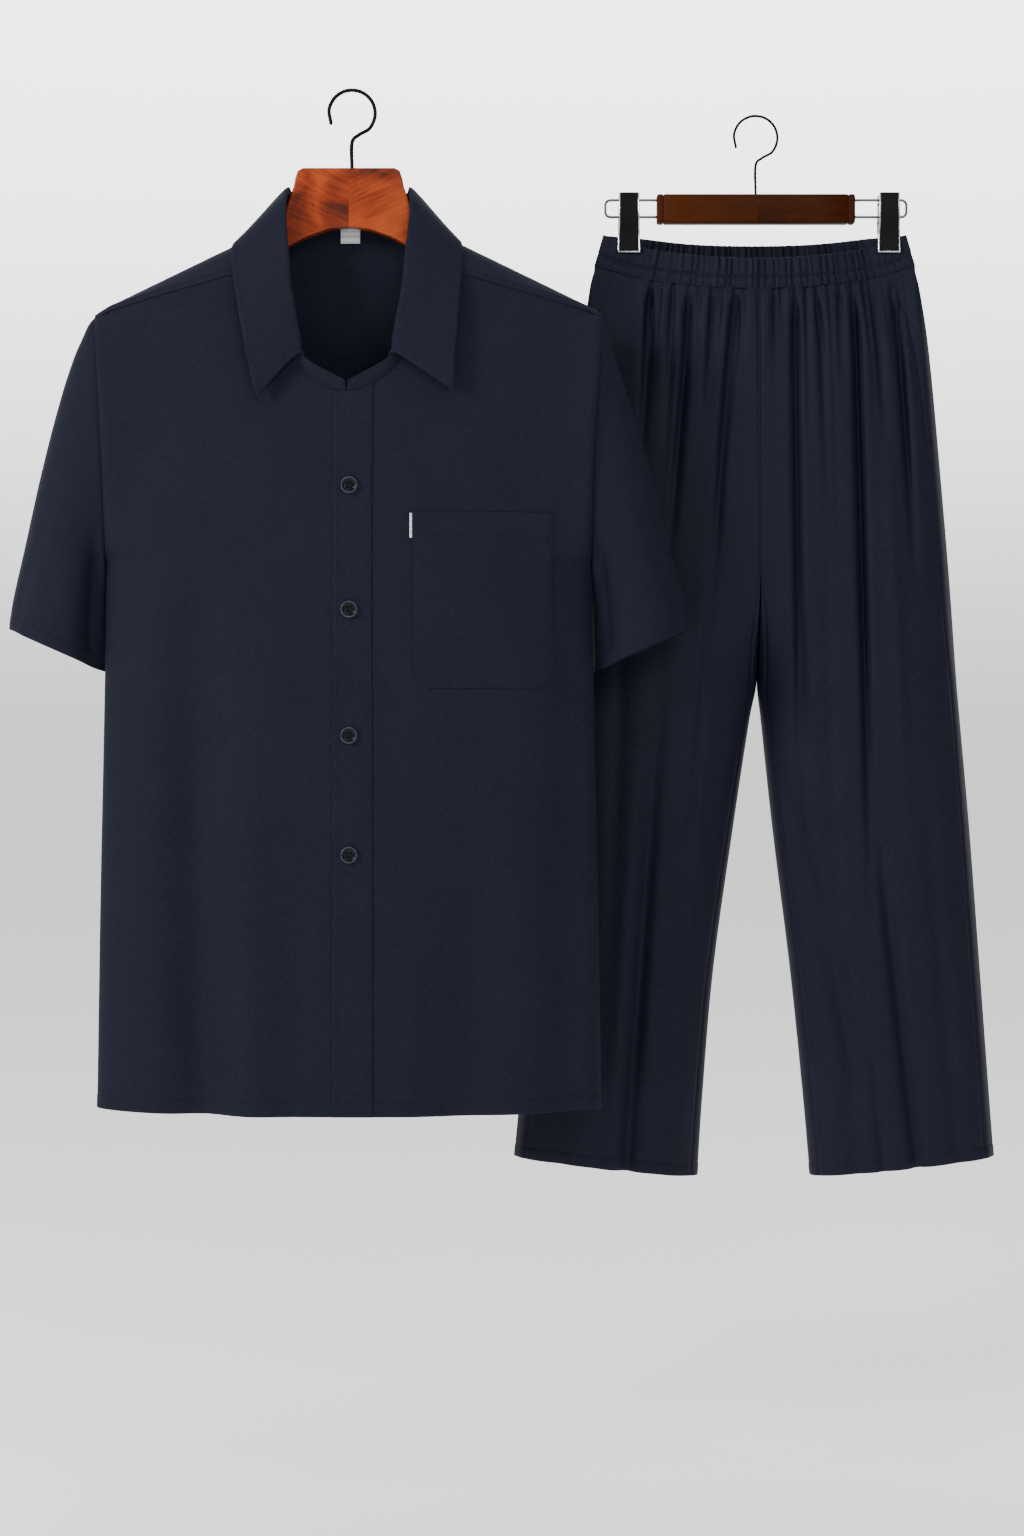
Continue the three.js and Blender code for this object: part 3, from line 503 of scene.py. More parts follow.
    def _find_runs(self, outer: Array, normals: Array, edges: dict[Edge, Array]) -> None:
        """Keeps the line of each stitched seam, found by its distance from the edge.

        Args:
            outer: Points on the cloth's outside.
            normals: The way out at each.
            edges: Distances from the edges.
        """
        for seam in self.seams:
            if not seam.stitched:
                continue
            rows = seam.edge in (Edge.BOTTOM, Edge.TOP)
            distance = edges[seam.edge] if rows else edges[seam.edge].T
            skin = outer if rows else outer.transpose(1, 0, 2)
            out = normals if rows else normals.transpose(1, 0, 2)
            if seam.edge in (Edge.TOP, Edge.RIGHT):
                distance, skin, out = distance[::-1], skin[::-1], out[::-1]
            line, ways = [], []
            for i in range(distance.shape[1]):
                for grid, found in ((skin, line), (out, ways)):
                    at = [np.interp(seam.inset, distance[:, i], grid[:, i, k]) for k in range(3)]
                    found.append(at)
            self.runs.append(Run(np.array(line), unit(np.array(ways))))

    def _mesh(self, outer: Array, inner: Array, u: Array, v: Array) -> Object:
        """Joins the two skins by a rim into one closed mesh.

        Args:
            outer: Grid of points on the outside.
            inner: Grid of points on the inside.
            u: Cloth coordinate along the rows, in millimetres.
            v: Cloth coordinate along the columns, in millimetres.

        Returns:
            The object.
        """
        rows, columns = u.shape
        stored = columns - 1 if self.closed else columns
        ids = np.arange(rows)[:, None] * stored + np.arange(columns)[None] % stored
        cloth = np.stack([u, v], axis=-1) * MM
        skin = (ids[:-1, :-1], ids[:-1, 1:], ids[1:, 1:], ids[1:, :-1])
        places = (cloth[:-1, :-1], cloth[:-1, 1:], cloth[1:, 1:], cloth[1:, :-1])
        front = np.stack(skin, axis=-1).reshape(-1, 4)
        front_uv = np.stack(places, axis=2).reshape(-1, 4, 2)
        offset = rows * stored
        back, back_uv = front[:, ::-1] + offset, front_uv[:, ::-1]
        faces, uvs = [front, back], [front_uv, back_uv]
        loops = [(ids[0], cloth[0]), (ids[-1][::-1], cloth[-1][::-1])]
        if not self.closed:
            loops += [(ids[:, -1], cloth[:, -1]), (ids[:, 0][::-1], cloth[:, 0][::-1])]
        for ring, spots in loops:
            rim = [ring[1:], ring[:-1], ring[:-1] + offset, ring[1:] + offset]
            faces.append(np.stack(rim, axis=-1))
            uvs.append(np.stack([spots[1:], spots[:-1], spots[:-1], spots[1:]], axis=1))
        points = np.concatenate([grid[:, :stored].reshape(-1, 3) for grid in (outer, inner)])
        quads, corners = np.concatenate(faces), np.concatenate(uvs)
        if signed_volume(points, quads) < 0:
            quads, corners = quads[:, ::-1], corners[:, ::-1]
        return mesh_object(self.name, points, quads, corners.reshape(-1, 2))


def signed_volume(points: Array, quads: Array) -> float:
    """Volume inside a closed mesh of quads, negative where its faces look inwards.

    Args:
        points: The mesh's points.
        quads: Its faces, as rows of four point numbers.

    Returns:
        The volume.
    """
    total = 0.0
    for one, two in ((1, 2), (2, 3)):
        a, b, c = points[quads[:, 0]], points[quads[:, one]], points[quads[:, two]]
        total += float(np.sum(a * np.cross(b, c)))
    return total


def stitches(
    name: str, runs: Sequence[Run], pitch: float = 3.4, radius: float = 0.3
) -> Object:
    """Lays short stitches along lines of sewing.

    Args:
        name: The object's name.
        runs: Lines that the stitches follow.
        pitch: From one stitch to the next. A shirt has one each 2.5 mm; these are drawn coarser,
            so that they show.
        radius: Half a stitch's thickness.

    Returns:
        One object with every stitch in it.
    """
    length, apart = pitch * 0.66, 0.5
    quarters = [q * math.pi / 2 for q in range(4)]
    ring = [(math.cos(turn) * radius, math.sin(turn) * radius) for turn in quarters]
    template = [(-length / 2, 0, 0), (length / 2, 0, 0)]
    template += [(end * length * 0.28, y, z) for end in (-1, 1) for y, z in ring]
    shape = np.array(template)
    cell = []
    for q in range(4):
        r = (q + 1) % 4
        cell += [(0, 2 + r, 2 + q), (1, 6 + q, 6 + r), (2 + q, 2 + r, 6 + r), (2 + q, 6 + r, 6 + q)]
    points, faces = [], []
    for run in runs:
        steps = np.linalg.norm(np.diff(run.points, axis=0), axis=1)
        distance = np.concatenate([[0], np.cumsum(steps)])
        at = np.arange(pitch / 2, distance[-1], pitch)
        place, ahead, behind, out = (
            np.stack([np.interp(spot, distance, line[:, k]) for k in range(3)], axis=1)
            for spot, line in (
                (at, run.points),
                (at + apart, run.points),
                (at - apart, run.points),
                (at, run.normals),
            )
        )
        out, way = unit(out), unit(ahead - behind)
        flank = unit(np.cross(out, way))
        basis = np.stack([way, flank, out], axis=1)
        spots = (place + out * radius * 0.25)[:, None] + shape[None] @ basis
        start = sum(len(p) for p in points)
        points.append(spots.reshape(-1, 3))
        base = start + np.arange(len(at))[:, None, None] * len(shape)
        faces.append((np.array(cell)[None] + base).reshape(-1, 3))
    return mesh_object(name, np.concatenate(points), np.concatenate(faces))


def tube(name: str, path: Array, radius: float | Array, sides: int = 16) -> Object:
    """Makes a round wire along a path in millimetres, with closed round ends.

    Args:
        name: The object's name.
        path: Points that the wire's middle follows.
        radius: Its radius, one number or one for each point.
        sides: Sides of its section.

    Returns:
        The object.
    """
    path = np.asarray(path, float)
    radii = np.broadcast_to(np.asarray(radius, float), (len(path),)).copy()
    tangents = unit(np.gradient(path, axis=0))
    cap = radii[0] * np.array([1.0, 0.92, 0.7, 0.38])  # how far out each ring of an end lies
    size = radii[0] * np.array([0.08, 0.45, 0.75, 0.94])  # each such ring's own radius
    start = path[0] - tangents[0] * cap[:, None]
    end = path[-1] + tangents[-1] * cap[::-1][:, None]
    path = np.concatenate([start, path, end])
    radii = np.concatenate([size, radii, size[::-1] * radii[-1] / radii[0]])
    first, last = (np.repeat(end, len(cap), 0) for end in (tangents[:1], tangents[-1:]))
    tangents = np.concatenate([first, tangents, last])
    side = unit(np.cross(tangents[0], (0.31, 0.9, 0.17)))
    rings = []
    for centre, tangent, r in zip(path, tangents, radii):
        side = unit(side - tangent * np.dot(side, tangent))
        other = np.cross(tangent, side)
        turn = np.linspace(0, 2 * np.pi, sides, endpoint=False)[:, None]
        rings.append(centre + r * (np.cos(turn) * side + np.sin(turn) * other))
    return loft(name, np.array(rings))


def loft(name: str, rings: Array) -> Object:
    """Closes a stack of rings into one solid mesh.

    Args:
        name: The object's name.
        rings: Rings of points, all of one length.

    Returns:
        The object.
    """
    count, sides = rings.shape[:2]
    ids = np.arange(count * sides).reshape(count, sides)
    after = np.roll(ids, -1, axis=1)
    quads = np.stack([ids[:-1], after[:-1], after[1:], ids[1:]], axis=-1).reshape(-1, 4)
    points = rings.reshape(-1, 3)
    faces = [*quads, ids[0][::-1], ids[-1]]
    centre = points.mean(axis=0)
    start, after, before = (points[quads[:, k]] for k in (0, 1, 3))
    if np.sum(np.cross(after - start, before - start) * (start - centre)) < 0:
        faces = [face[::-1] for face in faces]
    return mesh_object(name, points, faces)


def smooth_path(corners: Sequence[Sequence[float]], per_span: int = 8) -> Array:
    """A smooth curve through a few points.

    Args:
        corners: The points.
        per_span: Steps between each two of them.

    Returns:
        The curve's points.
    """
    p = np.array(corners, float)
    p = np.vstack([2 * p[0] - p[1], p, 2 * p[-1] - p[-2]])
    out = []
    for i in range(1, len(p) - 2):
        for t in np.linspace(0, 1, per_span, endpoint=False):
            out.append(
                0.5
                * (
                    2 * p[i]
                    + (p[i + 1] - p[i - 1]) * t
                    + (2 * p[i - 1] - 5 * p[i] + 4 * p[i + 1] - p[i + 2]) * t * t
                    + (3 * p[i] - p[i - 1] - 3 * p[i + 1] + p[i + 2]) * t**3
                )
            )
    return np.array([*out, p[-2]])


# Finishes

BLACK = (0.0, 0.0, 0.0, 1.0)
WHITE = (1.0, 1.0, 1.0, 1.0)
RGBA = {"data_type": "RGBA"}
SHARE, ONE, TWO, MIXED = 0, 6, 7, 2  # a colour mix's three inputs and its output, by number


def linear(hex_colour: str) -> tuple[float, float, float, float]:
    """Turns an sRGB hex colour, such as "#20252f", to linear RGBA.

    Args:
        hex_colour: The colour.

    Returns:
        Red, green, blue and alpha, each from 0 to 1.
    """
    values = [int(hex_colour[i : i + 2], 16) / 255 for i in (1, 3, 5)]
    r, g, b = (v / 12.92 if v <= 0.04045 else ((v + 0.055) / 1.055) ** 2.4 for v in values)
    return (r, g, b, 1.0)


def band_scale(period_mm: float) -> float:
    """Scale of a band wave with this period; at scale 1 its bands lie pi / 10 metres apart."""
    return math.pi / 10 / (period_mm * MM)


def fill(tree: NodeTree, node: Node, inputs: dict) -> None:
    """Sets or links a node's inputs.

    Args:
        tree: The material's node tree.
        node: The node.
        inputs: Input names or numbers, each with a value, an output socket, or a node whose
            first output it takes.
    """
    for key, value in inputs.items():
        if isinstance(value, Node):
            value = value.outputs[0]
        if isinstance(value, NodeSocket):
            tree.links.new(value, node.inputs[key])
        else:
            node.inputs[key].default_value = value


def add_node(
    tree: NodeTree, kind: str, settings: dict | None = None, inputs: dict | None = None
) -> Node:
    """Adds a node with its settings, and fills or links its inputs.

    Args:
        tree: The material's node tree.
        kind: The node's type, without the leading "ShaderNode".
        settings: Properties to set on the node.
        inputs: What its inputs take, as in fill.

    Returns:
        The node.
    """
    node = tree.nodes.new("ShaderNode" + kind)
    for key, value in (settings or {}).items():
        setattr(node, key, value)
    fill(tree, node, inputs or {})
    return node


def new_material(name: str) -> tuple[Material, NodeTree, Node]:
    """An empty node material.

    Args:
        name: Its name.

    Returns:
        The material, its node tree and its principled shader.
    """
    material = bpy.data.materials.new(name)
    material.use_nodes = True
    tree = material.node_tree
    return material, tree, tree.nodes["Principled BSDF"]


@dataclass(frozen=True)
class WovenCloth:
    """Plain-woven viscose and polyester, piece-dyed: dull, with a faint heathered grain."""

    name: str
    colour: str
    dark: str
    light: str
    thread_mm: float = 0.9  # real threads lie 0.35 mm apart; drawn coarser, so that they show
    slub_mm: float = 3.6  # length of the thicker stretches of a thread
    patches: float = 14.0  # to a metre, since the dye takes unevenly over about 70 mm
    rough: float = 0.78
    sheen: float = 0.03
    specular: float = 0.12
    relief_mm: float = 0.10

    def make(self) -> Material:
        """Builds the material on the cloth's own coordinates, in metres.

        Returns:
            The material.
        """
        material, tree, shader = new_material(self.name)
        place = add_node(tree, "UVMap", {"uv_map": "cloth"}).outputs["UV"]
        bands = {"Vector": place, "Scale": band_scale(self.thread_mm)}
        bands |= {"Distortion": 1.2, "Detail": 1.0}
        ways = [{"bands_direction": way} for way in "XY"]
        warp, weft = (add_node(tree, "TexWave", way, bands).outputs["Fac"] for way in ways)
        weave = add_node(tree, "Math", {"operation": "MULTIPLY"}, {0: warp, 1: weft})
        long = self.thread_mm / self.slub_mm
        slubs = []
        for stretch in ((1.0, long, 1.0), (long, 1.0, 1.0)):
            sized = add_node(tree, "Mapping", {}, {"Vector": place, "Scale": stretch})
            threads = {"Vector": sized, "Scale": 0.6 / (self.thread_mm * MM), "Detail": 3.0}
            slubs.append(add_node(tree, "TexNoise", {}, threads).outputs["Fac"])
        slub = add_node(tree, "Math", {"operation": "ADD"}, {0: slubs[0], 1: slubs[1]})
        grain = add_node(tree, "MapRange", {}, {"Value": slub, "From Min": 0.72, "From Max": 1.28})
        cloud = add_node(
            tree, "TexNoise", {}, {"Vector": place, "Scale": self.patches, "Detail": 2.0}
        ).outputs["Fac"]
        dark, light = linear(self.dark), linear(self.light)
        heather = add_node(tree, "Mix", RGBA, {SHARE: grain, ONE: dark, TWO: light})
        tone = add_node(tree, "Mix", RGBA, {SHARE: cloud, ONE: dark, TWO: linear(self.colour)})
        both = {SHARE: 0.55, ONE: heather.outputs[MIXED], TWO: tone.outputs[MIXED]}
        height = add_node(
            tree, "Math", {"operation": "MULTIPLY_ADD"}, {0: slub, 1: 0.8, 2: weave}
        )
        raised = {"Height": height, "Strength": 0.6, "Distance": self.relief_mm * MM}
        gloss = {"Value": grain, "To Min": self.rough - 0.06, "To Max": self.rough + 0.05}
        dress = {
            "Base Color": add_node(tree, "Mix", RGBA, both).outputs[MIXED],
            "Normal": add_node(tree, "Bump", {}, raised),
            "Roughness": add_node(tree, "MapRange", {}, gloss),
            "Specular IOR Level": self.specular,
            "Sheen Weight": self.sheen,
            "Sheen Roughness": 0.45,
            "Sheen Tint": linear("#5c6c8c"),
        }
        fill(tree, shader, dress)
        return material


@dataclass(frozen=True)
class Thread:
    """Spun polyester sewing thread: a soft shine on each twist."""

    name: str
    colour: str
    twist_mm: float = 0.7  # the real twist is about 0.4 mm; drawn coarser, so that it shows

    def make(self) -> Material:
        """Builds the material with the thread's twist as fine bands.

        Returns:
            The material.
        """
        material, tree, shader = new_material(self.name)
        place = add_node(tree, "TexCoord").outputs["Object"]
        bands = {"Vector": place, "Scale": band_scale(self.twist_mm), "Distortion": 0.5}
        twist = add_node(tree, "TexWave", {"bands_direction": "DIAGONAL"}, bands).outputs["Fac"]
        full = linear(self.colour)
        dark = add_node(tree, "Mix", RGBA, {SHARE: 0.35, ONE: full, TWO: BLACK}).outputs[MIXED]
        colour = add_node(tree, "Mix", RGBA, {SHARE: twist, ONE: dark, TWO: full}).outputs[MIXED]
        fill(tree, shader, {"Base Color": colour, "Roughness": 0.7, "Specular IOR Level": 0.2})
        return material


@dataclass(frozen=True)
class LabelTape:
    """White woven satin tape, left bare but for plain faint bands: smooth, with a soft shine."""

    name: str
    colour: str = "#cfd1d3"
    band: str = "#b2b5b9"
    band_mm: float = 5.2
    rib_mm: float = 0.6  # the tape's threads lie 0.2 mm apart; drawn coarser, so that they show

    def make(self) -> Material:
        """Builds the material with faint woven bands across the tape.

        Returns:
            The material.
        """
        material, tree, shader = new_material(self.name)
        place = add_node(tree, "TexCoord").outputs["Object"]
        bands = {"Vector": place, "Scale": band_scale(self.band_mm)}
        wave = add_node(tree, "TexWave", {"bands_direction": "Z"}, bands).outputs["Fac"]
        soft = add_node(tree, "MapRange", {}, {"Value": wave, "From Min": 0.62, "From Max": 0.8})
        woven = {SHARE: soft, ONE: linear(self.colour), TWO: linear(self.band)}
        ribs = {"Vector": place, "Scale": band_scale(self.rib_mm)}
        rib = add_node(tree, "TexWave", {}, ribs).outputs["Fac"]
        raised = {"Height": rib, "Strength": 0.3, "Distance": 0.05 * MM}
        dress = {
            "Base Color": add_node(tree, "Mix", RGBA, woven).outputs[MIXED],
            "Normal": add_node(tree, "Bump", {}, raised),
            "Roughness": 0.5,
        }
        fill(tree, shader, dress)
        return material


@dataclass(frozen=True)
class VarnishedWood:
    """Stained hardwood under clear gloss varnish: warm grain with dark figure."""

    name: str
    light: str
    middle: str
    dark: str
    middle_x: float
    slope: float
    grain_mm: float = 1.1
    figure_mm: float = 60.0
    coat: float = 0.1
    rough: float = 0.35
    specular: float = 0.15

    def make(self) -> Material:
        """Builds the material; the grain of each half slopes away from the middle.

        Returns:
            The material.
        """
        material, tree, shader = new_material(self.name)
        place = add_node(tree, "TexCoord").outputs["Object"]
        parts = add_node(tree, "SeparateXYZ", {}, {0: place}).outputs
        offset = {0: parts["X"], 1: self.middle_x * MM}
        from_middle = add_node(tree, "Math", {"operation": "SUBTRACT"}, offset)
        mirrored = add_node(tree, "Math", {"operation": "ABSOLUTE"}, {0: from_middle})
        which = add_node(tree, "Math", {"operation": "GREATER_THAN"}, {0: from_middle, 1: 0.0})
        apart = {0: which, 1: 0.7, 2: parts["Y"]}  # so that the two halves don't mirror exactly
        depth = add_node(tree, "Math", {"operation": "MULTIPLY_ADD"}, apart)
        folded = add_node(tree, "CombineXYZ", {}, {"X": mirrored, "Y": depth, "Z": parts["Z"]})
        tilt = {"Vector": folded, "Rotation": (0.0, self.slope, 0.0)}
        turned = add_node(tree, "Mapping", {}, tilt)
        long = add_node(tree, "Mapping", {}, {"Vector": turned, "Scale": (0.06, 1.0, 1.0)})
        pores = {"Vector": long, "Scale": 0.5 / (self.grain_mm * MM), "Detail": 5.0}
        fine = add_node(tree, "TexNoise", {}, pores | {"Distortion": 0.6}).outputs["Fac"]
        figure = {"Vector": turned, "Scale": 1.0 / (self.figure_mm * MM), "Detail": 3.0}
        broad = add_node(tree, "TexNoise", {}, figure | {"Distortion": 1.2}).outputs["Fac"]
        both = {0: fine, 1: 0.45, 2: broad}
        mixed = add_node(tree, "Math", {"operation": "MULTIPLY_ADD"}, both)
        ramp = add_node(tree, "ValToRGB", {}, {"Fac": mixed})
        stops = ramp.color_ramp.elements
        stops[0].position, stops[0].color = 0.44, linear(self.dark)
        stops[1].position, stops[1].color = 0.9, linear(self.light)
        middle = stops.new(0.64)
        middle.color = linear(self.middle)
        raised = {"Height": fine, "Strength": 0.15, "Distance": 0.15 * MM}
        dress = {
            "Base Color": ramp.outputs["Color"],
            "Normal": add_node(tree, "Bump", {}, raised),
            "Roughness": self.rough,
            "Coat Weight": self.coat,
            "Coat Roughness": 0.15,
            "Specular IOR Level": self.specular,
        }
        fill(tree, shader, dress)
        return material


@dataclass(frozen=True)
class Steel:
    """Drawn steel: chrome-plated and bright where metallic is 1, or sprayed satin black."""

    name: str
    colour: str
    metallic: float
    rough: float
    peel_mm: float = 3.0

    def make(self) -> Material:
        """Builds the material with a faint waviness and uneven gloss.

        Returns:
            The material.
        """
        material, tree, shader = new_material(self.name)
        place = add_node(tree, "TexCoord").outputs["Object"]
        peel = {"Vector": place, "Scale": 1.0 / (self.peel_mm * MM), "Detail": 3.0}
        wavy = add_node(tree, "TexNoise", {}, peel).outputs["Fac"]
        gloss = {"Value": wavy, "To Min": self.rough * 0.8, "To Max": self.rough * 1.3}
        full = linear(self.colour)
        shade = add_node(tree, "Mix", RGBA, {SHARE: 0.2, ONE: full, TWO: BLACK}).outputs[MIXED]
        uneven = {SHARE: wavy, ONE: shade, TWO: full}
        raised = {"Height": wavy, "Strength": 0.08, "Distance": 0.2 * MM}
        dress = {
            "Base Color": add_node(tree, "Mix", RGBA, uneven).outputs[MIXED],
            "Roughness": add_node(tree, "MapRange", {}, gloss),
            "Normal": add_node(tree, "Bump", {}, raised),
            "Metallic": self.metallic,
        }
        if not self.metallic:
            dress["Specular IOR Level"] = 0.1
        fill(tree, shader, dress)
        return material


@dataclass(frozen=True)
class Resin:
    """Cast polyester resin, tumbled to a gloss: cloudy, with a painted highlight as a pale ring
    round the face.
    """

    name: str
    colour: str
    light: str
    # Colour of the painted highlight ring round the face.
    rim: str
    cloud_mm: float = 4.0
    highlight_ring_share: tuple[float, float] = (0.41, 0.44)  # of the button's width, where the painted highlight ring turns pale

    def make(self) -> Material:
        """Builds the material with clouds a few millimetres wide and a painted highlight ring round
        the face.

        Returns:
            The material.
        """
        material, tree, shader = new_material(self.name)
        place = add_node(tree, "TexCoord").outputs["Object"]
        clouds = {"Vector": place, "Scale": 1.0 / (self.cloud_mm * MM), "Distortion": 1.5}
        cloud = add_node(tree, "TexNoise", {}, clouds).outputs["Fac"]
        spot = add_node(tree, "TexCoord").outputs["Generated"]
        offset = {0: spot, 1: (0.5, 0.5, 0.5)}
        centred = add_node(tree, "VectorMath", {"operation": "SUBTRACT"}, offset)
        level = {0: centred, 1: (1.0, 0.0, 1.0)}
        flat = add_node(tree, "VectorMath", {"operation": "MULTIPLY"}, level)
        radius = add_node(tree, "VectorMath", {"operation": "LENGTH"}, {0: flat}).outputs["Value"]
        # Painted highlight: the face turns pale in a ring near its edge, in place of light on the
        # rounded rim.
        start, end = self.highlight_ring_share
        rim = add_node(tree, "MapRange", {}, {"Value": radius, "From Min": start, "From Max": end})
        light = linear(self.light)
        face = {SHARE: cloud, ONE: linear(self.colour), TWO: light}
        mottled = add_node(tree, "Mix", RGBA, face).outputs[MIXED]
        ring = {SHARE: cloud, ONE: linear(self.rim), TWO: light}
        pale = add_node(tree, "Mix", RGBA, ring).outputs[MIXED]
        # Painted highlight: the mottled face, pale in the ring near its edge.
        painted_rim_highlight = add_node(tree, "Mix", RGBA, {SHARE: rim, ONE: mottled, TWO: pale}).outputs[MIXED]
        dress = {"Base Color": painted_rim_highlight, "Roughness": 0.3, "Specular IOR Level": 0.12, "IOR": 1.55}
        fill(tree, shader, dress)
        return material


@dataclass(frozen=True)
class PaleFloor:
    """Matt white paper for the studio floor: no shine, so that no edge or glare shows."""

    name: str
    colour: str

    def make(self) -> Material:
        """Builds the material in one plain colour.

        Returns:
            The material.
        """
        material, tree, shader = new_material(self.name)
        dress = {"Base Color": linear(self.colour), "Roughness": 0.95, "Specular IOR Level": 0.1}
        fill(tree, shader, dress)
        return material


@dataclass
class Finishes:
    """Every material of the set, each made once, in this order."""

    # Brushed shirting: nearly matt, and its light threads give a faint grey-blue bloom.
    shirt: Material = field(
        default_factory=WovenCloth("navy_woven_shirting", "#121422", "#090b14", "#1d2033").make
    )
    # The same yarn woven tighter: each long fold keeps a soft streak of light.
    trousers: Material = field(
        default_factory=WovenCloth(
            "navy_woven_trousering",
            colour="#141624",
            dark="#0b0c16",
            light="#1d1f31",
            rough=0.57, sheen=0.0, specular=0.085,
        ).make
    )
    # Spun thread of the cloth's colour: it shows by its shadow and a dull glint only.
    thread: Material = field(default_factory=Thread("navy_sewing_thread", "#14161f").make)
    # Satin tape: the one pale thing on the shirt, a little grey in the shade.
    tape: Material = field(default_factory=LabelTape("white_satin_tape").make)
    # Beech stained red-brown: its orange grain glows through, darkest at the pores.
    red_wood: Material = field(
        default_factory=VarnishedWood(
            "red_brown_varnished_wood",
            light="#994014",
            middle="#74270b",
            dark="#2c0f07",
            middle_x=-2.8, slope=0.45,
        ).make
    )
    # Beech stained dark: a still, brown face with long faint figure along the bar.
    dark_wood: Material = field(
        default_factory=VarnishedWood(
            "dark_varnished_wood",
            light="#3f1a03",
            middle="#2d1001",
            dark="#190700",
            middle_x=389.5, slope=0.02, grain_mm=0.9, figure_mm=220.0, coat=0.0, rough=0.5,
            specular=0.05,
        ).make
    )
    # Chrome on pressed steel: a bright thin edge round each black face.
    chrome: Material = field(
        default_factory=Steel("bright_chrome_steel", "#cfd2d6", metallic=1.0, rough=0.16).make
    )
    # Bare wire: greyer and softer than the chrome.
    wire: Material = field(
        default_factory=Steel("bare_drawn_steel_wire", "#595b5f", metallic=1.0, rough=0.3).make
    )
    # Sprayed black: flat and dark, with a weak highlight along each edge.
    black: Material = field(
        default_factory=Steel("satin_black_steel", "#050506", metallic=0.0, rough=0.5).make
    )
    # Tumbled resin: dark and cloudy, with a painted highlight as a pale ring that draws the button.
    resin: Material = field(
        default_factory=Resin("navy_resin", "#05060a", light="#0b0e14", rim="#4a5260").make
    )


# The shirt


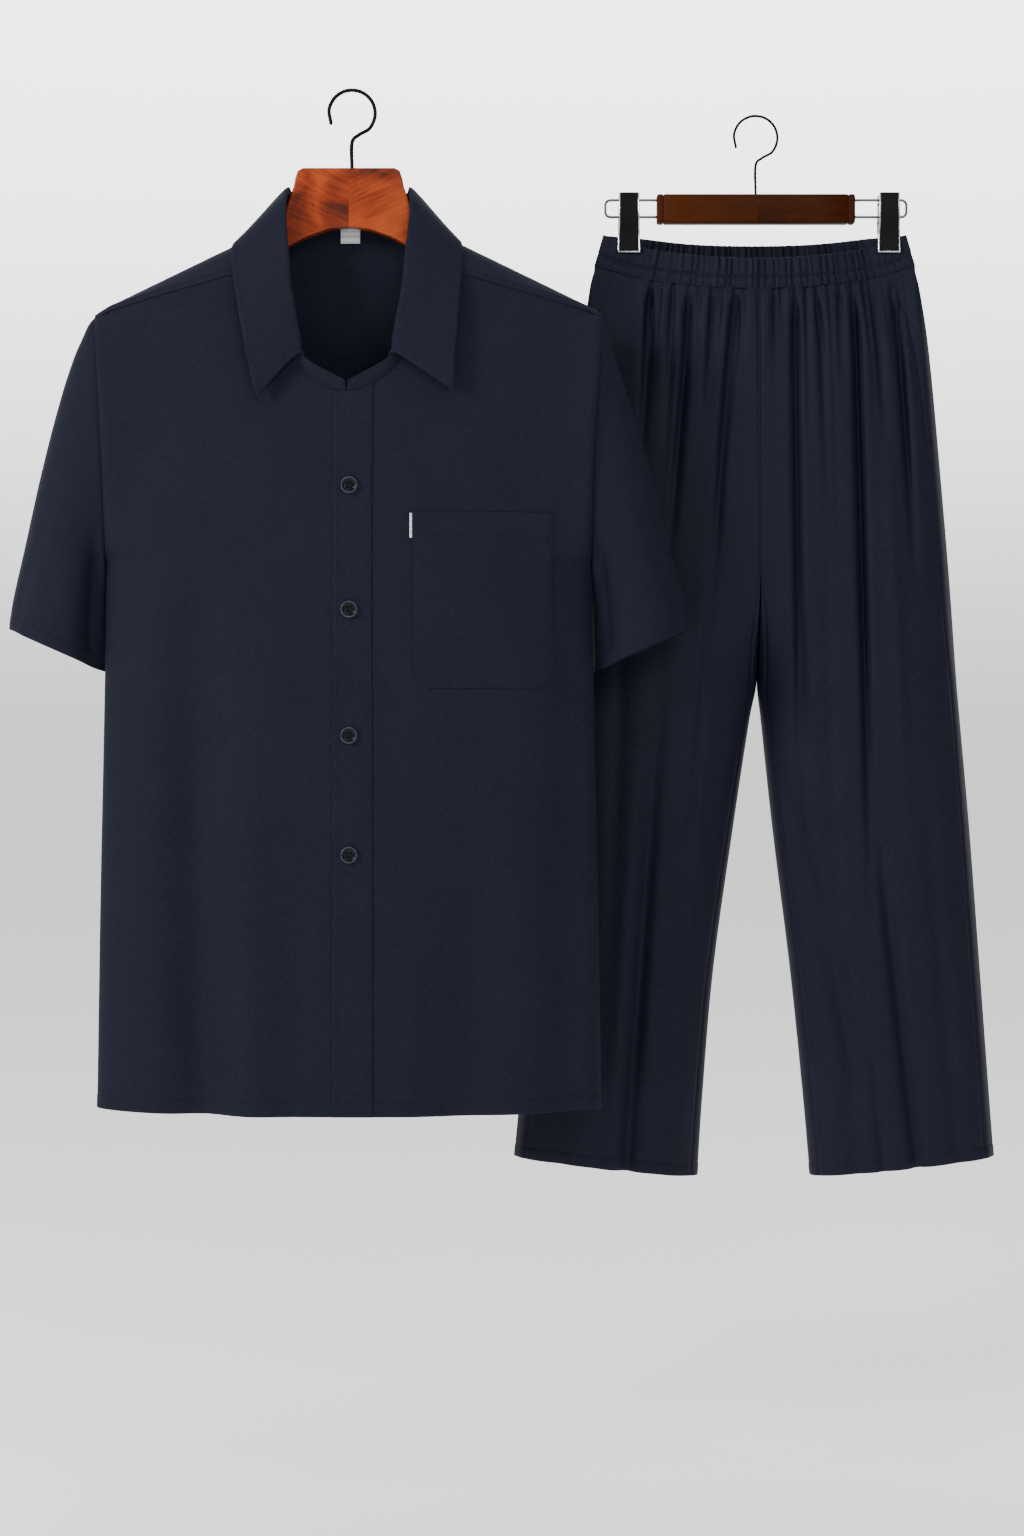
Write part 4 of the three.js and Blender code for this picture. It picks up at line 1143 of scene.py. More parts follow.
@dataclass
class ShirtForm:
    """The shirt's shape, from its sizes and two short tables."""

    middle_x: float = -2.5
    hem_z: float = -957.0
    hem_rise: float = 3.5
    underarm_z: float = -440.0
    shoulder_half: float = 238.5
    neck_half: float = 74.0
    ridge_z: float = -129.0
    ridge_slope: float = 0.483
    armhole_depth: float = 24.0
    seam_drop_neck: float = 38.0
    seam_drop_tip: float = 4.0
    front_neck_drop: float = 120.0
    back_neck_z: float = -143.0
    roll: float = 34.0
    flatness: float = 2.4
    seam: float = 0.3
    levels: Table = Table(
        "z half front back",
        (
            (-960, 236.5, 50, 48),
            (-760, 233.5, 51, 48),
            (-590, 230, 51, 47),
            (-440, 227.6, 50, 45),
            (-340, 229.5, 46, 39),
            (-260, 234.5, 37, 29),
            (-200, 238.2, 26, 22),
            (-90, 239, 20, 20),
        ),
    )
    folds: tuple[Fold, ...] = (
        Fold(Face.FRONT, -380, -144, -960, -132, 28, 19, Reach.OPENS),
        Fold(Face.FRONT, -600, -112, -960, -94, 30, -5, Reach.OPENS),
        Fold(Face.FRONT, -580, 128, -960, 112, 30, 7, Reach.OPENS),
        Fold(Face.FRONT, -300, 216, -960, 206, 22, 12, Reach.OPENS),
        Fold(Face.BACK, -380, -150, -960, -128, 36, 8, Reach.OPENS),
        Fold(Face.BACK, -420, 8, -960, 22, 42, 6, Reach.OPENS),
        Fold(Face.BACK, -360, 158, -960, 140, 36, 9, Reach.OPENS),
        Fold(Face.FRONT, -330, -128, -640, -146, 17, 1.3),
        Fold(Face.FRONT, -300, 148, -560, 178, 20, 1.6),
        Fold(Face.FRONT, -690, -46, -960, -52, 15, 1.4, Reach.OPENS),
        Fold(Face.FRONT, -720, 62, -960, 58, 14, -1.2, Reach.OPENS),
        Fold(Face.FRONT, -500, 40, -900, 44, 16, 0.9),
        Fold(Face.FRONT, -350, -205, -520, -196, 12, 1.8),
        Fold(Face.FRONT, -350, 206, -520, 198, 12, 1.8),
        Fold(Face.BACK, -230, -70, -560, -88, 22, 2.4),
        Fold(Face.BACK, -230, 82, -600, 96, 22, 2.2),
        Fold(Face.BACK, -640, -66, -960, -58, 18, -2.6, Reach.OPENS),
        Fold(Face.BACK, -660, 84, -960, 88, 18, 2.2, Reach.OPENS),
        Fold(Face.BACK, -330, -202, -540, -192, 13, 2.0),
        Fold(Face.BACK, -330, 202, -540, 192, 13, 2.0),
    )

    def roundness(self, across: Array) -> Array:
        """How round the section is: 1 in the middle, 0 at the side."""
        return np.sqrt(np.maximum(0.0, 1 - np.abs(across) ** self.flatness))

    def ridge(self, x: Array) -> Array:
        """Height of the shoulder's ridge."""
        tip = 2.4 * ease(self.shoulder_half - 13, self.shoulder_half, np.abs(x))
        return self.ridge_z - self.ridge_slope * (np.abs(x) - self.neck_half) - tip

    def seam_drop(self, x: Array) -> Array:
        """How far the shoulder seam lies below the ridge."""
        t = np.clip((np.abs(x) - self.neck_half) / (self.shoulder_half - self.neck_half), 0, 1)
        return self.seam_drop_neck + (self.seam_drop_tip - self.seam_drop_neck) * t

    def roll_height(self, across: Array) -> Array:
        """Height over which the cloth rounds over the shoulder."""
        return 1.5 + self.roll * (1 - across**4)

    def body(self, across: Array, z: Array, face: Face, over: Array | float = 1.0) -> Array:
        """A point of the shirt's body.

        Args:
            across: From -1 at the wearer's right side to 1 at the left.
            z: Height.
            face: Front or back.
            over: Share of the full depth, below 1 where the cloth rounds over the shoulder.

        Returns:
            Points in millimetres.
        """
        column = "front" if face is Face.FRONT else "back"
        x = across * self.levels("half", z)
        tip = self.ridge(self.shoulder_half)
        t = np.clip((z - self.underarm_z) / (tip - self.underarm_z), 0, 1)
        gap = self.seam / 2 + 2 * self.armhole_depth * np.sqrt(t * (1 - t))
        roundness = self.roundness(across)
        depth = self.levels(column, z) * roundness + gap * np.abs(across) ** 10
        fold = fold_depth(self.folds, face, x, z) * roundness
        drift = 0.35 * np.sin(x * 0.031 + z * 0.011) * np.sin(z * 0.017 - x * 0.013 + 1.3)
        drift = drift + 0.22 * np.sin(x * 0.071 - z * 0.023 + 0.6) * np.sin(z * 0.041 + 0.4)
        depth = depth - fold + drift * roundness
        return vector(self.middle_x + x, face.value * depth * over, z)

    def hem(self, across: Array) -> Array:
        """Height of the hem."""
        return self.hem_z + self.hem_rise * np.abs(across) ** 3

    def front_top(self, across: Array) -> Array:
        """Height of a front's top edge: the neckline, then the shoulder seam.

        Args:
            across: From -1 to 1.

        Returns:
            Height in millimetres.
        """
        x = np.abs(across) * self.shoulder_half
        seam = self.ridge(x) - self.seam_drop(x) - self.seam
        start = self.ridge_z - self.seam_drop_neck - self.seam
        inside = np.sqrt(np.maximum(0.0, 1 - (x / self.neck_half) ** 2))
        return np.where(x >= self.neck_half, seam, start - self.front_neck_drop * inside)

    def front_under(self, across: Array) -> Array:
        """A front's top edge with the allowance that runs under the back's edge."""
        x = np.abs(across) * self.shoulder_half
        return self.front_top(across) + 3.2 * ease(self.neck_half, self.neck_half + 8, x)

    def front(self, across: Array, z: Array) -> Array:
        """A point of the shirt's front.

        Args:
            across: From -1 to 1.
            z: Height.

        Returns:
            Points in millimetres.
        """
        drop = self.ridge(across * self.shoulder_half) - z
        roll = self.roll_height(across)
        part = np.clip(drop / roll, 0, 1)
        over = np.sqrt(np.maximum(0.0, 1 - (1 - part) ** 2))
        return self.body(across, z, Face.FRONT, over)

    def back(self, across: Array, climb: Array) -> Array:
        """A point of the back, which goes over the shoulder and down in front.

        Args:
            across: From -1 to 1.
            climb: 0 at the hem, 1 below the shoulder's rounding, 3 below it in front.

        Returns:
            Points in millimetres.
        """
        roll = self.roll_height(across)
        foot = self.ridge(across * self.shoulder_half) - roll
        low = self.body(across, self.hem(across) * (1 - climb) + foot * climb, Face.BACK)
        angle = (climb - 1) * np.pi / 2
        over = np.abs(np.cos(angle))
        arc = foot + roll * np.sin(np.clip(angle, 0, np.pi))
        behind = self.body(across, arc, Face.BACK, over)
        ahead = self.body(across, arc, Face.FRONT, over)
        down = self.body(across, foot - (climb - 3) * roll, Face.FRONT)
        pick = np.broadcast_to(climb, low.shape[:-1])[..., None]
        over_shoulder = np.where(pick <= 2, behind, np.where(pick < 3, ahead, down))
        return np.where(pick <= 1, low, over_shoulder)

    def back_end(self, across: Array) -> Array:
        """Where the back's top edge is: the back neckline, then the shoulder seam in front.

        Args:
            across: From -1 to 1.

        Returns:
            The climb there, as in back.
        """
        x = np.abs(across) * self.shoulder_half
        roll = self.roll_height(across)
        drop = self.seam_drop(x) - self.seam
        inside = 3 - np.arcsin(np.clip(1 - drop / roll, -1, 1)) / (np.pi / 2)
        seam = np.where(drop < roll, inside, 3 + drop / roll - 1)
        foot = self.ridge(x) - roll
        rise = np.clip(x / self.neck_half, 0, 1) ** 2.5
        neck_z = self.back_neck_z + (self.ridge_z - self.back_neck_z) * rise
        hem = self.hem(across)
        low = (neck_z - hem) / (foot - hem)
        high = 1 + np.arcsin(np.clip((neck_z - foot) / roll, 0, 1)) / (np.pi / 2)
        neck = np.where(neck_z < foot, low, high)
        t = ease(self.neck_half - 12, self.neck_half + 1, x)
        return neck + (seam - neck) * t


@dataclass
class Shirt:
    """The shirt's cloth: fronts, back, sleeves, collar, placket, pocket and their sewing."""

    form: ShirtForm
    finishes: Finishes
    runs: list[Run] = field(default_factory=list)
    fronts_meet: float = 12.0
    hem_inset: float = 12.0
    lap_stitch: float = 5.5
    layer: float = 1.35
    placket: tuple[float, float] = (-12.9, 24.9)
    pocket: tuple[float, float, float, float] = (63.8, 198.9, -399.0, -562.0)
    pocket_corner: float = 20.0
    pocket_hem: float = 21.0
    tab: tuple[float, float, float, float] = (61.3, 63.7, -400.7, -423.4)
    sleeve_head: float = 0.22
    tuck_under: float = 0.3
    sleeve_rows: dict[Side, Table] = field(
        default_factory=lambda: {
            Side.RIGHT: Table(
                "along out_x out_z in_x in_z depth y",
                (
                    (0, 240, -211, 229, -440, 25, 0),
                    (0.03, 246.6, -218.5, 229.3, -443.5, 25.2, 0.4),
                    (0.07, 252.3, -231.5, 229.6, -448, 25.5, 1),
                    (0.12, 259, -248, 228.3, -454, 26, 2),
                    (0.3, 277, -307, 228.4, -472, 29, 6),
                    (0.5, 292, -364, 228.8, -492, 33, 10),
                    (0.7, 306, -424, 229.0, -513, 36, 14),
                    (0.9, 319, -480, 229.2, -534, 38, 17),
                    (1, 322, -504, 229.3, -545, 39, 18),
                ),
            ),
            Side.LEFT: Table(
                "along out_x out_z in_x in_z depth y",
                (
                    (0, 240, -211, 229, -440, 25, 0),
                    (0.03, 243.4, -220.5, 229.3, -443.5, 25.2, 0.4),
                    (0.07, 246.6, -234, 229.6, -448, 25.5, 1),
                    (0.12, 250, -250, 228.1, -454, 26, 2),
                    (0.3, 266, -300, 228.2, -472, 29, 5),
                    (0.5, 284, -360, 228.6, -492, 33, 9),
                    (0.7, 300, -425, 228.8, -513, 36, 12),
                    (0.9, 317, -481, 229.0, -534, 38, 15),
                    (1, 320, -505, 229.1, -545, 39, 16),
                ),
            ),
        }
    )

    def _sheet(
        self, panel: Panel, nodes: tuple[str, ...], on: list[str], extra: list | None = None
    ) -> Object:
        """Builds and dresses one panel of the shirt.

        Args:
            panel: The panel.
            nodes: CAD nodes that it stands for.
            on: What it hangs from or lies on; not used.
            extra: Pieces that lie on it; not used.

        Returns:
            The panel's object.
        """
        made = Piece(panel.build(), self.finishes.shirt, Slot.SHIRT_CLOTH, nodes).settle()
        self.runs += panel.runs
        return made

    def build(self) -> None:
        """Makes the whole shirt."""
        self._fronts()
        self._back()
        for side in Side:
            self._sleeve(side)
        Collar(self.form, self.finishes, self.runs).build()
        self._placket()
        self._pocket()
        sewing = stitches("shirt_stitching", self.runs)
        Piece(sewing, self.finishes.thread, Slot.SHIRT_CLOTH).settle()

    def _fronts(self) -> None:
        """Makes both fronts; the right one runs under the placket."""
        form = self.form
        hem, quarter, gap = Seamline(Edge.BOTTOM, self.hem_inset), math.pi / 2, 1
        for side in Side:
            right = side is Side.RIGHT
            meet = math.asin((self.fronts_meet + (0 if right else gap)) / form.shoulder_half)
            span = (-quarter, meet) if right else (meet, quarter)
            panel = Panel(
                name=f"front_{side.name.lower()}",
                surface=lambda a, z: form.front(np.sin(a), z), span=span, columns=84, rows=190,
                low=lambda a: form.hem(np.sin(a)), high=lambda a: form.front_under(np.sin(a)),
                seams=(hem,),
            )
            self._sheet(panel, (f"shirt_front_{side.name.lower()}",), ["hanger_wood"])

    def _back(self) -> None:
        """Makes the back, whose edge laps over the fronts at the forward shoulder seam."""
        form = self.form

        def lapped(a: Array, climb: Array, edges: dict[Edge, Array]) -> Array:
            """The lap stands proud of the fronts near the shoulder seam.

            Args:
                a: Angle across the back.
                climb: Place up it.
                edges: Distances from the edges.

            Returns:
                Height in millimetres.
            """
            x = np.abs(np.sin(a)) * form.shoulder_half
            lap = 1 - ease(self.lap_stitch + 1.0, 2 * self.lap_stitch, edges[Edge.TOP])
            line = bump(edges[Edge.TOP] - self.lap_stitch, 1.1)
            return ease(form.neck_half - 4, form.neck_half + 4, x) * (0.95 * lap - 0.3 * line)

        panel = Panel(
            name="back", surface=lambda a, climb: form.back(np.sin(a), climb),
            span=(-math.pi / 2, math.pi / 2), columns=150, rows=200, low=0.0,
            high=lambda a: form.back_end(np.sin(a)),
            seams=(
                Seamline(Edge.BOTTOM, self.hem_inset),
                Seamline(Edge.TOP, self.lap_stitch, proud=0.0, groove=0.0),
            ),
            relief=lapped, samples=700,
        )
        self._sheet(panel, ("shirt_back",), ["hanger_wood"])

    def _sleeve(self, side: Side) -> None:
        """Makes one sleeve, whose head runs under the body's armhole edge.

        Args:
            side: The wearer's side.
        """
        form, rows, sign = self.form, self.sleeve_rows[side], side.value

        def surface(around: Array, along: Array) -> Array:
            """A point of the sleeve: around 0 is the underarm, 0.5 the top.

            Args:
                around: From 0 to 1 round the sleeve.
                along: 0 at the armhole, 1 at the cuff.

            Returns:
                Points in millimetres.
            """
            angle = 2 * np.pi * (around + 0.5)
            t = (1 + np.cos(angle)) / 2
            place = np.maximum(along, 0.0)

            def on_ring(axis: str, at: Array) -> Array:
                """Reads x or z between the underarm and the top of a ring."""
                inside, outside = rows(f"in_{axis}", at), rows(f"out_{axis}", at)
                return inside + (outside - inside) * t

            start = np.zeros_like(place)
            seam_x = form.levels("half", on_ring("z", start)) - self.tuck_under
            bent = (seam_x - on_ring("x", start)) * (1 - ease(0, self.sleeve_head, place))
            tuck = 1 - 0.06 * (1 - ease(-0.02, 0.03, along))
            y = rows("y", place) - sign * rows("depth", place) * tuck * np.sin(angle)
            x = on_ring("x", place) + bent + 120 * np.minimum(along, 0.0)
            return vector(form.middle_x + sign * x, y, on_ring("z", place))

        def creased(around: Array, along: Array, edges: dict[Edge, Array]) -> Array:
            """Soft folds that fall from the shoulder towards the cuff.

            Args:
                around: Place round the sleeve.
                along: Place along it.
                edges: Distances from the edges.

            Returns:
                Height in millimetres.
            """
            turn = 2 * np.pi * around
            front = sign * np.sin(turn)
            soft = -1.6 * bump(around - (0.36 if front.mean() > 0 else 0.64) - 0.06 * along, 0.035)
            soft = soft * np.sin(np.pi * np.clip(along * 1.1, 0, 1))
            drag = -1.4 * bump(around - 0.5 - sign * 0.2 + sign * 0.1 * along, 0.03)
            drag = drag * ease(0.25, 0.8, along)
            rear = -1.8 * bump(around - 0.5 + sign * 0.22 - sign * 0.06 * along, 0.032)
            rear = rear * ease(0.1, 0.7, along)
            inner = around if side is Side.RIGHT else 1 - around
            hollow = -11.0 * bump(inner - 0.105, 0.06) * ease(0.02, 0.4, along)
            hollow = hollow * (1 - 0.55 * ease(0.8, 1.0, along))
            return soft * 0.6 + drag + rear + hollow

        name = f"sleeve_{side.name.lower()}"
        panel = Panel(
            name=f"{name}_cloth", surface=surface, span=(0.0, 1.0), columns=170, rows=70,
            low=-0.02, high=1.0, seams=(Seamline(Edge.TOP, self.hem_inset),), closed=True,
            relief=creased,
        )
        self._sheet(panel, (name,), ["back", "hanger_wood"])

    def _placket(self) -> None:
        """Makes the placket strip down the middle front."""
        form = self.form
        low, high = (x / form.shoulder_half for x in self.placket)
        panel = Panel(
            name="placket_strip", surface=form.front, span=(low, high), columns=12, rows=190,
            low=form.hem, high=form.front_top,
            seams=(
                Seamline(Edge.LEFT, 5.0, proud=0.1, groove=0.15),
                Seamline(Edge.RIGHT, 1.8, proud=-0.1, groove=0.2),
                Seamline(Edge.BOTTOM, self.hem_inset, proud=0.3),
            ),
            wall=1.2, shift=self.layer,
        )
        self._sheet(panel, ("placket",), ["front_left", "front_right"])

    def _pocket(self) -> None:
        """Makes the breast pocket with round lower corners, and the folded tab at its edge."""
        form = self.form
        left, right, top, bottom = self.pocket

        def rounded(across: Array) -> Array:
            """Height of the pocket's lower edge.

            Args:
                across: From -1 to 1 over the shirt.

            Returns:
                Height in millimetres.
            """
            x = across * form.shoulder_half
            from_side = np.clip(np.minimum(x - left, right - x), 0, self.pocket_corner)
            c = self.pocket_corner
            return bottom + c - np.sqrt(np.maximum(0.0, c * c - (c - from_side) ** 2))

        sewn_edges = (Edge.LEFT, Edge.RIGHT, Edge.BOTTOM)
        panel = Panel(
            name="pocket_patch", surface=form.front,
            span=(left / form.shoulder_half, right / form.shoulder_half), columns=52, rows=54,
            low=rounded, high=top,
            seams=(
                *(Seamline(edge, 2.0, proud=-0.25, groove=0.2) for edge in sewn_edges),
                Seamline(Edge.TOP, self.pocket_hem, proud=0.35),
            ),
            shift=self.layer + 0.1,
        )
        tab = self._tab()
        self._sheet(panel, ("pocket",), ["front_left"], [tab])

    def _tab(self) -> Object:
        """Makes the small folded tape that is caught in the pocket's edge.

        Returns:
            The object.
        """
        form = self.form
        left, right, top, bottom = self.tab
        panel = Panel(
            name="pocket_tab_tape", surface=form.front,
            span=(left / form.shoulder_half, right / form.shoulder_half), columns=8, rows=16,
            low=bottom, high=top, shift=1.6,
            relief=lambda a, z, edges: 0.35 * (1 - ease(0.0, 1.6, edges[Edge.LEFT])) - 0.2,
        )
        cloth = panel.build()
        return Piece(cloth, self.finishes.tape, Slot.LABEL_TAPE, ("pocket_tab",)).settle()


@dataclass
class Collar:
    """The collar's stand and its leaf, which folds over and lies open on the fronts."""

    form: ShirtForm
    finishes: Finishes
    runs: list[Run]
    leaf_end: float = 0.88
    rise: float = 11.0
    belly: float = 7.0
    gap: float = 1.4
    label_half: float = 9.2
    rows: Table = Table(
        "s base x y z r_x l_x edge_y r_z l_z",
        (
            (0, 0, 0, 16, -104, 0, 0, 36, -156, -156),
            (0.17, 0.45, 41, 14, -102, 58, 55, 33, -157, -157),
            (0.27, 0.62, 54, 9, -97, 88, 84, 24, -153, -153),
            (0.34, 0.69, 57, -2, -94, 100, 98.5, 11, -139.5, -140.5),
            (0.4, 0.745, 58.5, -16, -107, 105.5, 104.5, -6, -141.6, -141.8),
            (0.46, 0.79, 58.5, -24, -126, 109.5, 107, -18, -153, -152.5),
            (0.53, 0.86, 57.5, -30, -152, 107, 106, -27, -177, -177),
            (0.6, 1.13, 55, -35, -180, 102.5, 104.5, -35, -200, -199),
            (0.7, 1.35, 49.5, -39, -212, 96, 102, -43.5, -235, -232),
            (0.79, 1.53, 43.5, -41.5, -239, 90, 100, -48.5, -263, -259),
            (0.88, 1.68, 38, -42.5, -256, 81.5, 98, -51.5, -293, -287),
            (1, 2, 1.5, -43, -277, 60, 80, -48, -300, -290),
        ),
    )

    def neckline(self, a: Array) -> Array:
        """Places on the neckline; a runs from -1 at the right front to 1 at the left.

        Args:
            a: Places along it.

        Returns:
            Points in millimetres.
        """
        form, side, s = self.form, np.where(a < 0, -1.0, 1.0), np.abs(a)
        base = self.rows("base", s)
        behind = side * (form.neck_half + 1) * np.sin(np.minimum(base, 1) * np.pi / 2)
        behind = behind / form.shoulder_half
        ahead = side * form.neck_half * np.cos(np.maximum(base - 1, 0) * np.pi / 2)
        ahead = ahead / form.shoulder_half
        back = form.back(behind, form.back_end(behind))
        front = form.front(ahead, form.front_top(ahead))
        return np.where((base < 1)[..., None], back, front)

    def fold(self, a: Array) -> Array:
        """Places on the line where the leaf folds over.

        Args:
            a: From -1 to 1.

        Returns:
            Points in millimetres.
        """
        s = np.abs(a)
        x = self.form.middle_x + np.sign(a) * self.rows("x", s)
        return vector(x, self.rows("y", s), self.rows("z", s))

    def edge(self, a: Array) -> Array:
        """Places on the leaf's free edge.

        Args:
            a: From -1 to 1.

        Returns:
            Points in millimetres.
        """
        s = np.abs(a)
        x = np.where(a < 0, self.rows("r_x", s), self.rows("l_x", s))
        z = np.where(a < 0, self.rows("r_z", s), self.rows("l_z", s))
        return vector(self.form.middle_x + np.sign(a) * x, self.rows("edge_y", s), z)

    def stand(self, a: Array, v: Array) -> Array:
        """A point of the stand, from the neckline (v 0) to the fold (v 1).

        Args:
            a: From -1 to 1.
            v: Place up the stand.

        Returns:
            Points in millimetres.
        """
        base, top = self.neckline(a), self.fold(a)
        bow = 0.8 * np.sin(np.pi * np.clip(v, 0, 1))
        out = unit((top - base) * 0 + vector(top[..., 0] - self.form.middle_x, top[..., 1], 0 * a))
        return base + (top - base) * np.asarray(v)[..., None] + out * bow[..., None]

    def leaf(self, a: Array, v: Array) -> Array:
        """A point of the leaf, which rises a little, turns over and comes down.

        Args:
            a: From -1 to 1.
            v: 0 at the fold, 1 at the free edge.

        Returns:
            Points in millimetres.
        """
        fold, edge = self.fold(a), self.edge(a)
        up = unit(fold - self.neckline(a))
        start = fold + up * self.gap
        out = unit((edge - fold) * (1, 1, 0))
        over = start * 0.7 + edge * 0.3 + out * self.belly
        rise = start + up * self.rise
        t = np.asarray(v)[..., None]
        turning = start * (1 - t) ** 3 + 3 * rise * t * (1 - t) ** 2
        return turning + 3 * over * t * t * (1 - t) + edge * t**3

    def build(self) -> None:
        """Makes the stand, the leaf and the neck label."""
        middle_y = -4.0
        stand = Panel(
            name="collar_stand_cloth", surface=self.stand, span=(-1.0, 1.0), columns=230,
            rows=12, low=-0.03, high=1.0,
            seams=tuple(Seamline(edge, 3.0, proud=0.0) for edge in (Edge.BOTTOM, Edge.TOP)),
            wall=1.4, middle_y=middle_y,
        )
        leaf = Panel(
            name="collar_leaf_cloth", surface=self.leaf, span=(-self.leaf_end, self.leaf_end),
            columns=230, rows=30, low=0.0, high=1.0,
            seams=tuple(
                Seamline(edge, 6.0, proud=0.0, groove=0.22)
                for edge in (Edge.TOP, Edge.LEFT, Edge.RIGHT)
            ),
            wall=1.5, middle_y=middle_y,
        )
        for panel, node in ((stand, "collar_stand"), (leaf, "collar_leaf")):
            made = Piece(panel.build(), self.finishes.shirt, Slot.SHIRT_CLOTH, (node,)).settle()
            label = [self._label()] if panel is stand else []
            self.runs += panel.runs

    def _label(self) -> Object:
        """Makes the folded neck label inside the stand, at the middle of the back.

        Returns:
            The object.
        """
        low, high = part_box("neck_label")
        tucked = 2  # millimetres of it that lie between the stand's two layers
        centre_x, y = (low[0] + high[0]) / 2 / MM, (low[1] + high[1]) / 2 / MM
        half, top, bottom = self.label_half, high[2] / MM + tucked, low[2] / MM

        def surface(x: Array, z: Array) -> Array:
            """Hangs straight, with its foot a little forward and its sides a little back.

            Args:
                x: Distance from its middle.
                z: Height.

            Returns:
                Points in millimetres.
            """
            down = (top - z) / (top - bottom)
            curl = 0.5 * down**2 - 0.25 * (x / half) ** 2 * down
            return vector(centre_x + x, y - curl, z)

        panel = Panel(
            name="neck_label_tape", surface=surface, span=(-half, half), columns=12, rows=12,
            low=bottom, high=top, wall=0.8, middle_y=40.0,
        )
        tape = panel.build()
        return Piece(tape, self.finishes.tape, Slot.LABEL_TAPE, ("neck_label",)).settle()


@dataclass
class Buttons:
    """The four-hole buttons, each sewn on with two bars of thread."""

    form: ShirtForm
    finishes: Finishes
    radius: float = 7.8
    thick: float = 3.0
    hole: float = 0.85
    spread: float = 2.0
    x: float = 3.0
    sunk: float = 2.6  # from a button's back to the middle of the cloth in front of it
    thread: float = 0.45  # half a bar's thickness: six or so threads side by side
    heights: tuple[float, ...] = (-375.0, -489.5, -605.5, -715.5)
    profile: tuple[tuple[float, float], ...] = (
        (0.0, 0.0), (0.6, 0.0), (0.88, 0.02), (0.965, 0.16), (1.0, 0.42), (0.99, 0.7),
        (0.95, 0.92), (0.89, 1.0), (0.82, 0.99), (0.75, 0.9), (0.68, 0.72), (0.6, 0.64),
        (0.3, 0.62), (0.0, 0.62),
    )

    def _blank(self) -> Mesh:
        """The turned button with its holes drilled, its back on Y 0 and its face towards -Y.

        Returns:
            The mesh, in metres.
        """
        turn = np.linspace(0, 2 * np.pi, 48, endpoint=False)
        rings = []
        for r, height in self.profile:
            size = max(r * self.radius, 0.02)
            rings.append(vector(size * np.cos(turn), -height * self.thick, size * np.sin(turn)))
        blank = loft("button_blank", np.array(rings))
        cutters = []
        for quarter in range(4):
            angle = (quarter + 0.5) * math.pi / 2
            x, z = (self.spread * math.sqrt(2) * way(angle) for way in (math.cos, math.sin))
            side_x, side_z = self.hole * np.cos(turn[::3]), self.hole * np.sin(turn[::3])
            around = vector(x + side_x, 0.0, z + side_z)
            ends = np.array([around + (0, 2, 0), around - (0, 6, 0)])
            cutters.append(loft(f"drill_{quarter}", ends))
        for cutter in cutters:
            drill = blank.modifiers.new("drill", "BOOLEAN")
            drill.operation, drill.solver, drill.object = "DIFFERENCE", "EXACT", cutter
        bpy.context.view_layer.update()
        drilled = blank.evaluated_get(bpy.context.evaluated_depsgraph_get())
        mesh = bpy.data.meshes.new_from_object(drilled)
        for scrap in (*cutters, blank):
            bpy.data.objects.remove(scrap)
        return mesh

    def build(self) -> None:
        """Makes all the buttons and their thread."""
        blank = self._blank()
        base = np.array([vertex.co for vertex in blank.vertices]) / MM
        faces = [tuple(polygon.vertices) for polygon in blank.polygons]
        for number, z in enumerate(self.heights, start=1):
            across = self.x / self.form.shoulder_half
            face = self.form.front(np.array(across), np.array(z))
            seat = np.array((self.form.middle_x + self.x, face[1] - self.sunk, z))
            made = mesh_object(f"shirt_button_{number}", base + seat, faces)
            Piece(made, self.finishes.resin, Slot.BUTTON_RESIN, (f"button_{number}",)).settle()
            s = self.spread
            for way in (-1, 1):
                bar = [(way * s, -1.0, -s), (way * s, -2.2, -s * 0.8), (way * s, -2.5, 0)]
                bar += [(way * s, -2.2, s * 0.8), (way * s, -1.0, s)]
                path = smooth_path(np.array(bar) + seat, 4)
                side = "left" if way < 0 else "right"
                thread = tube(f"button_thread_{number}_{side}", path, self.thread, 8)
                Piece(thread, self.finishes.thread, Slot.SHIRT_CLOTH).settle()


# The trousers


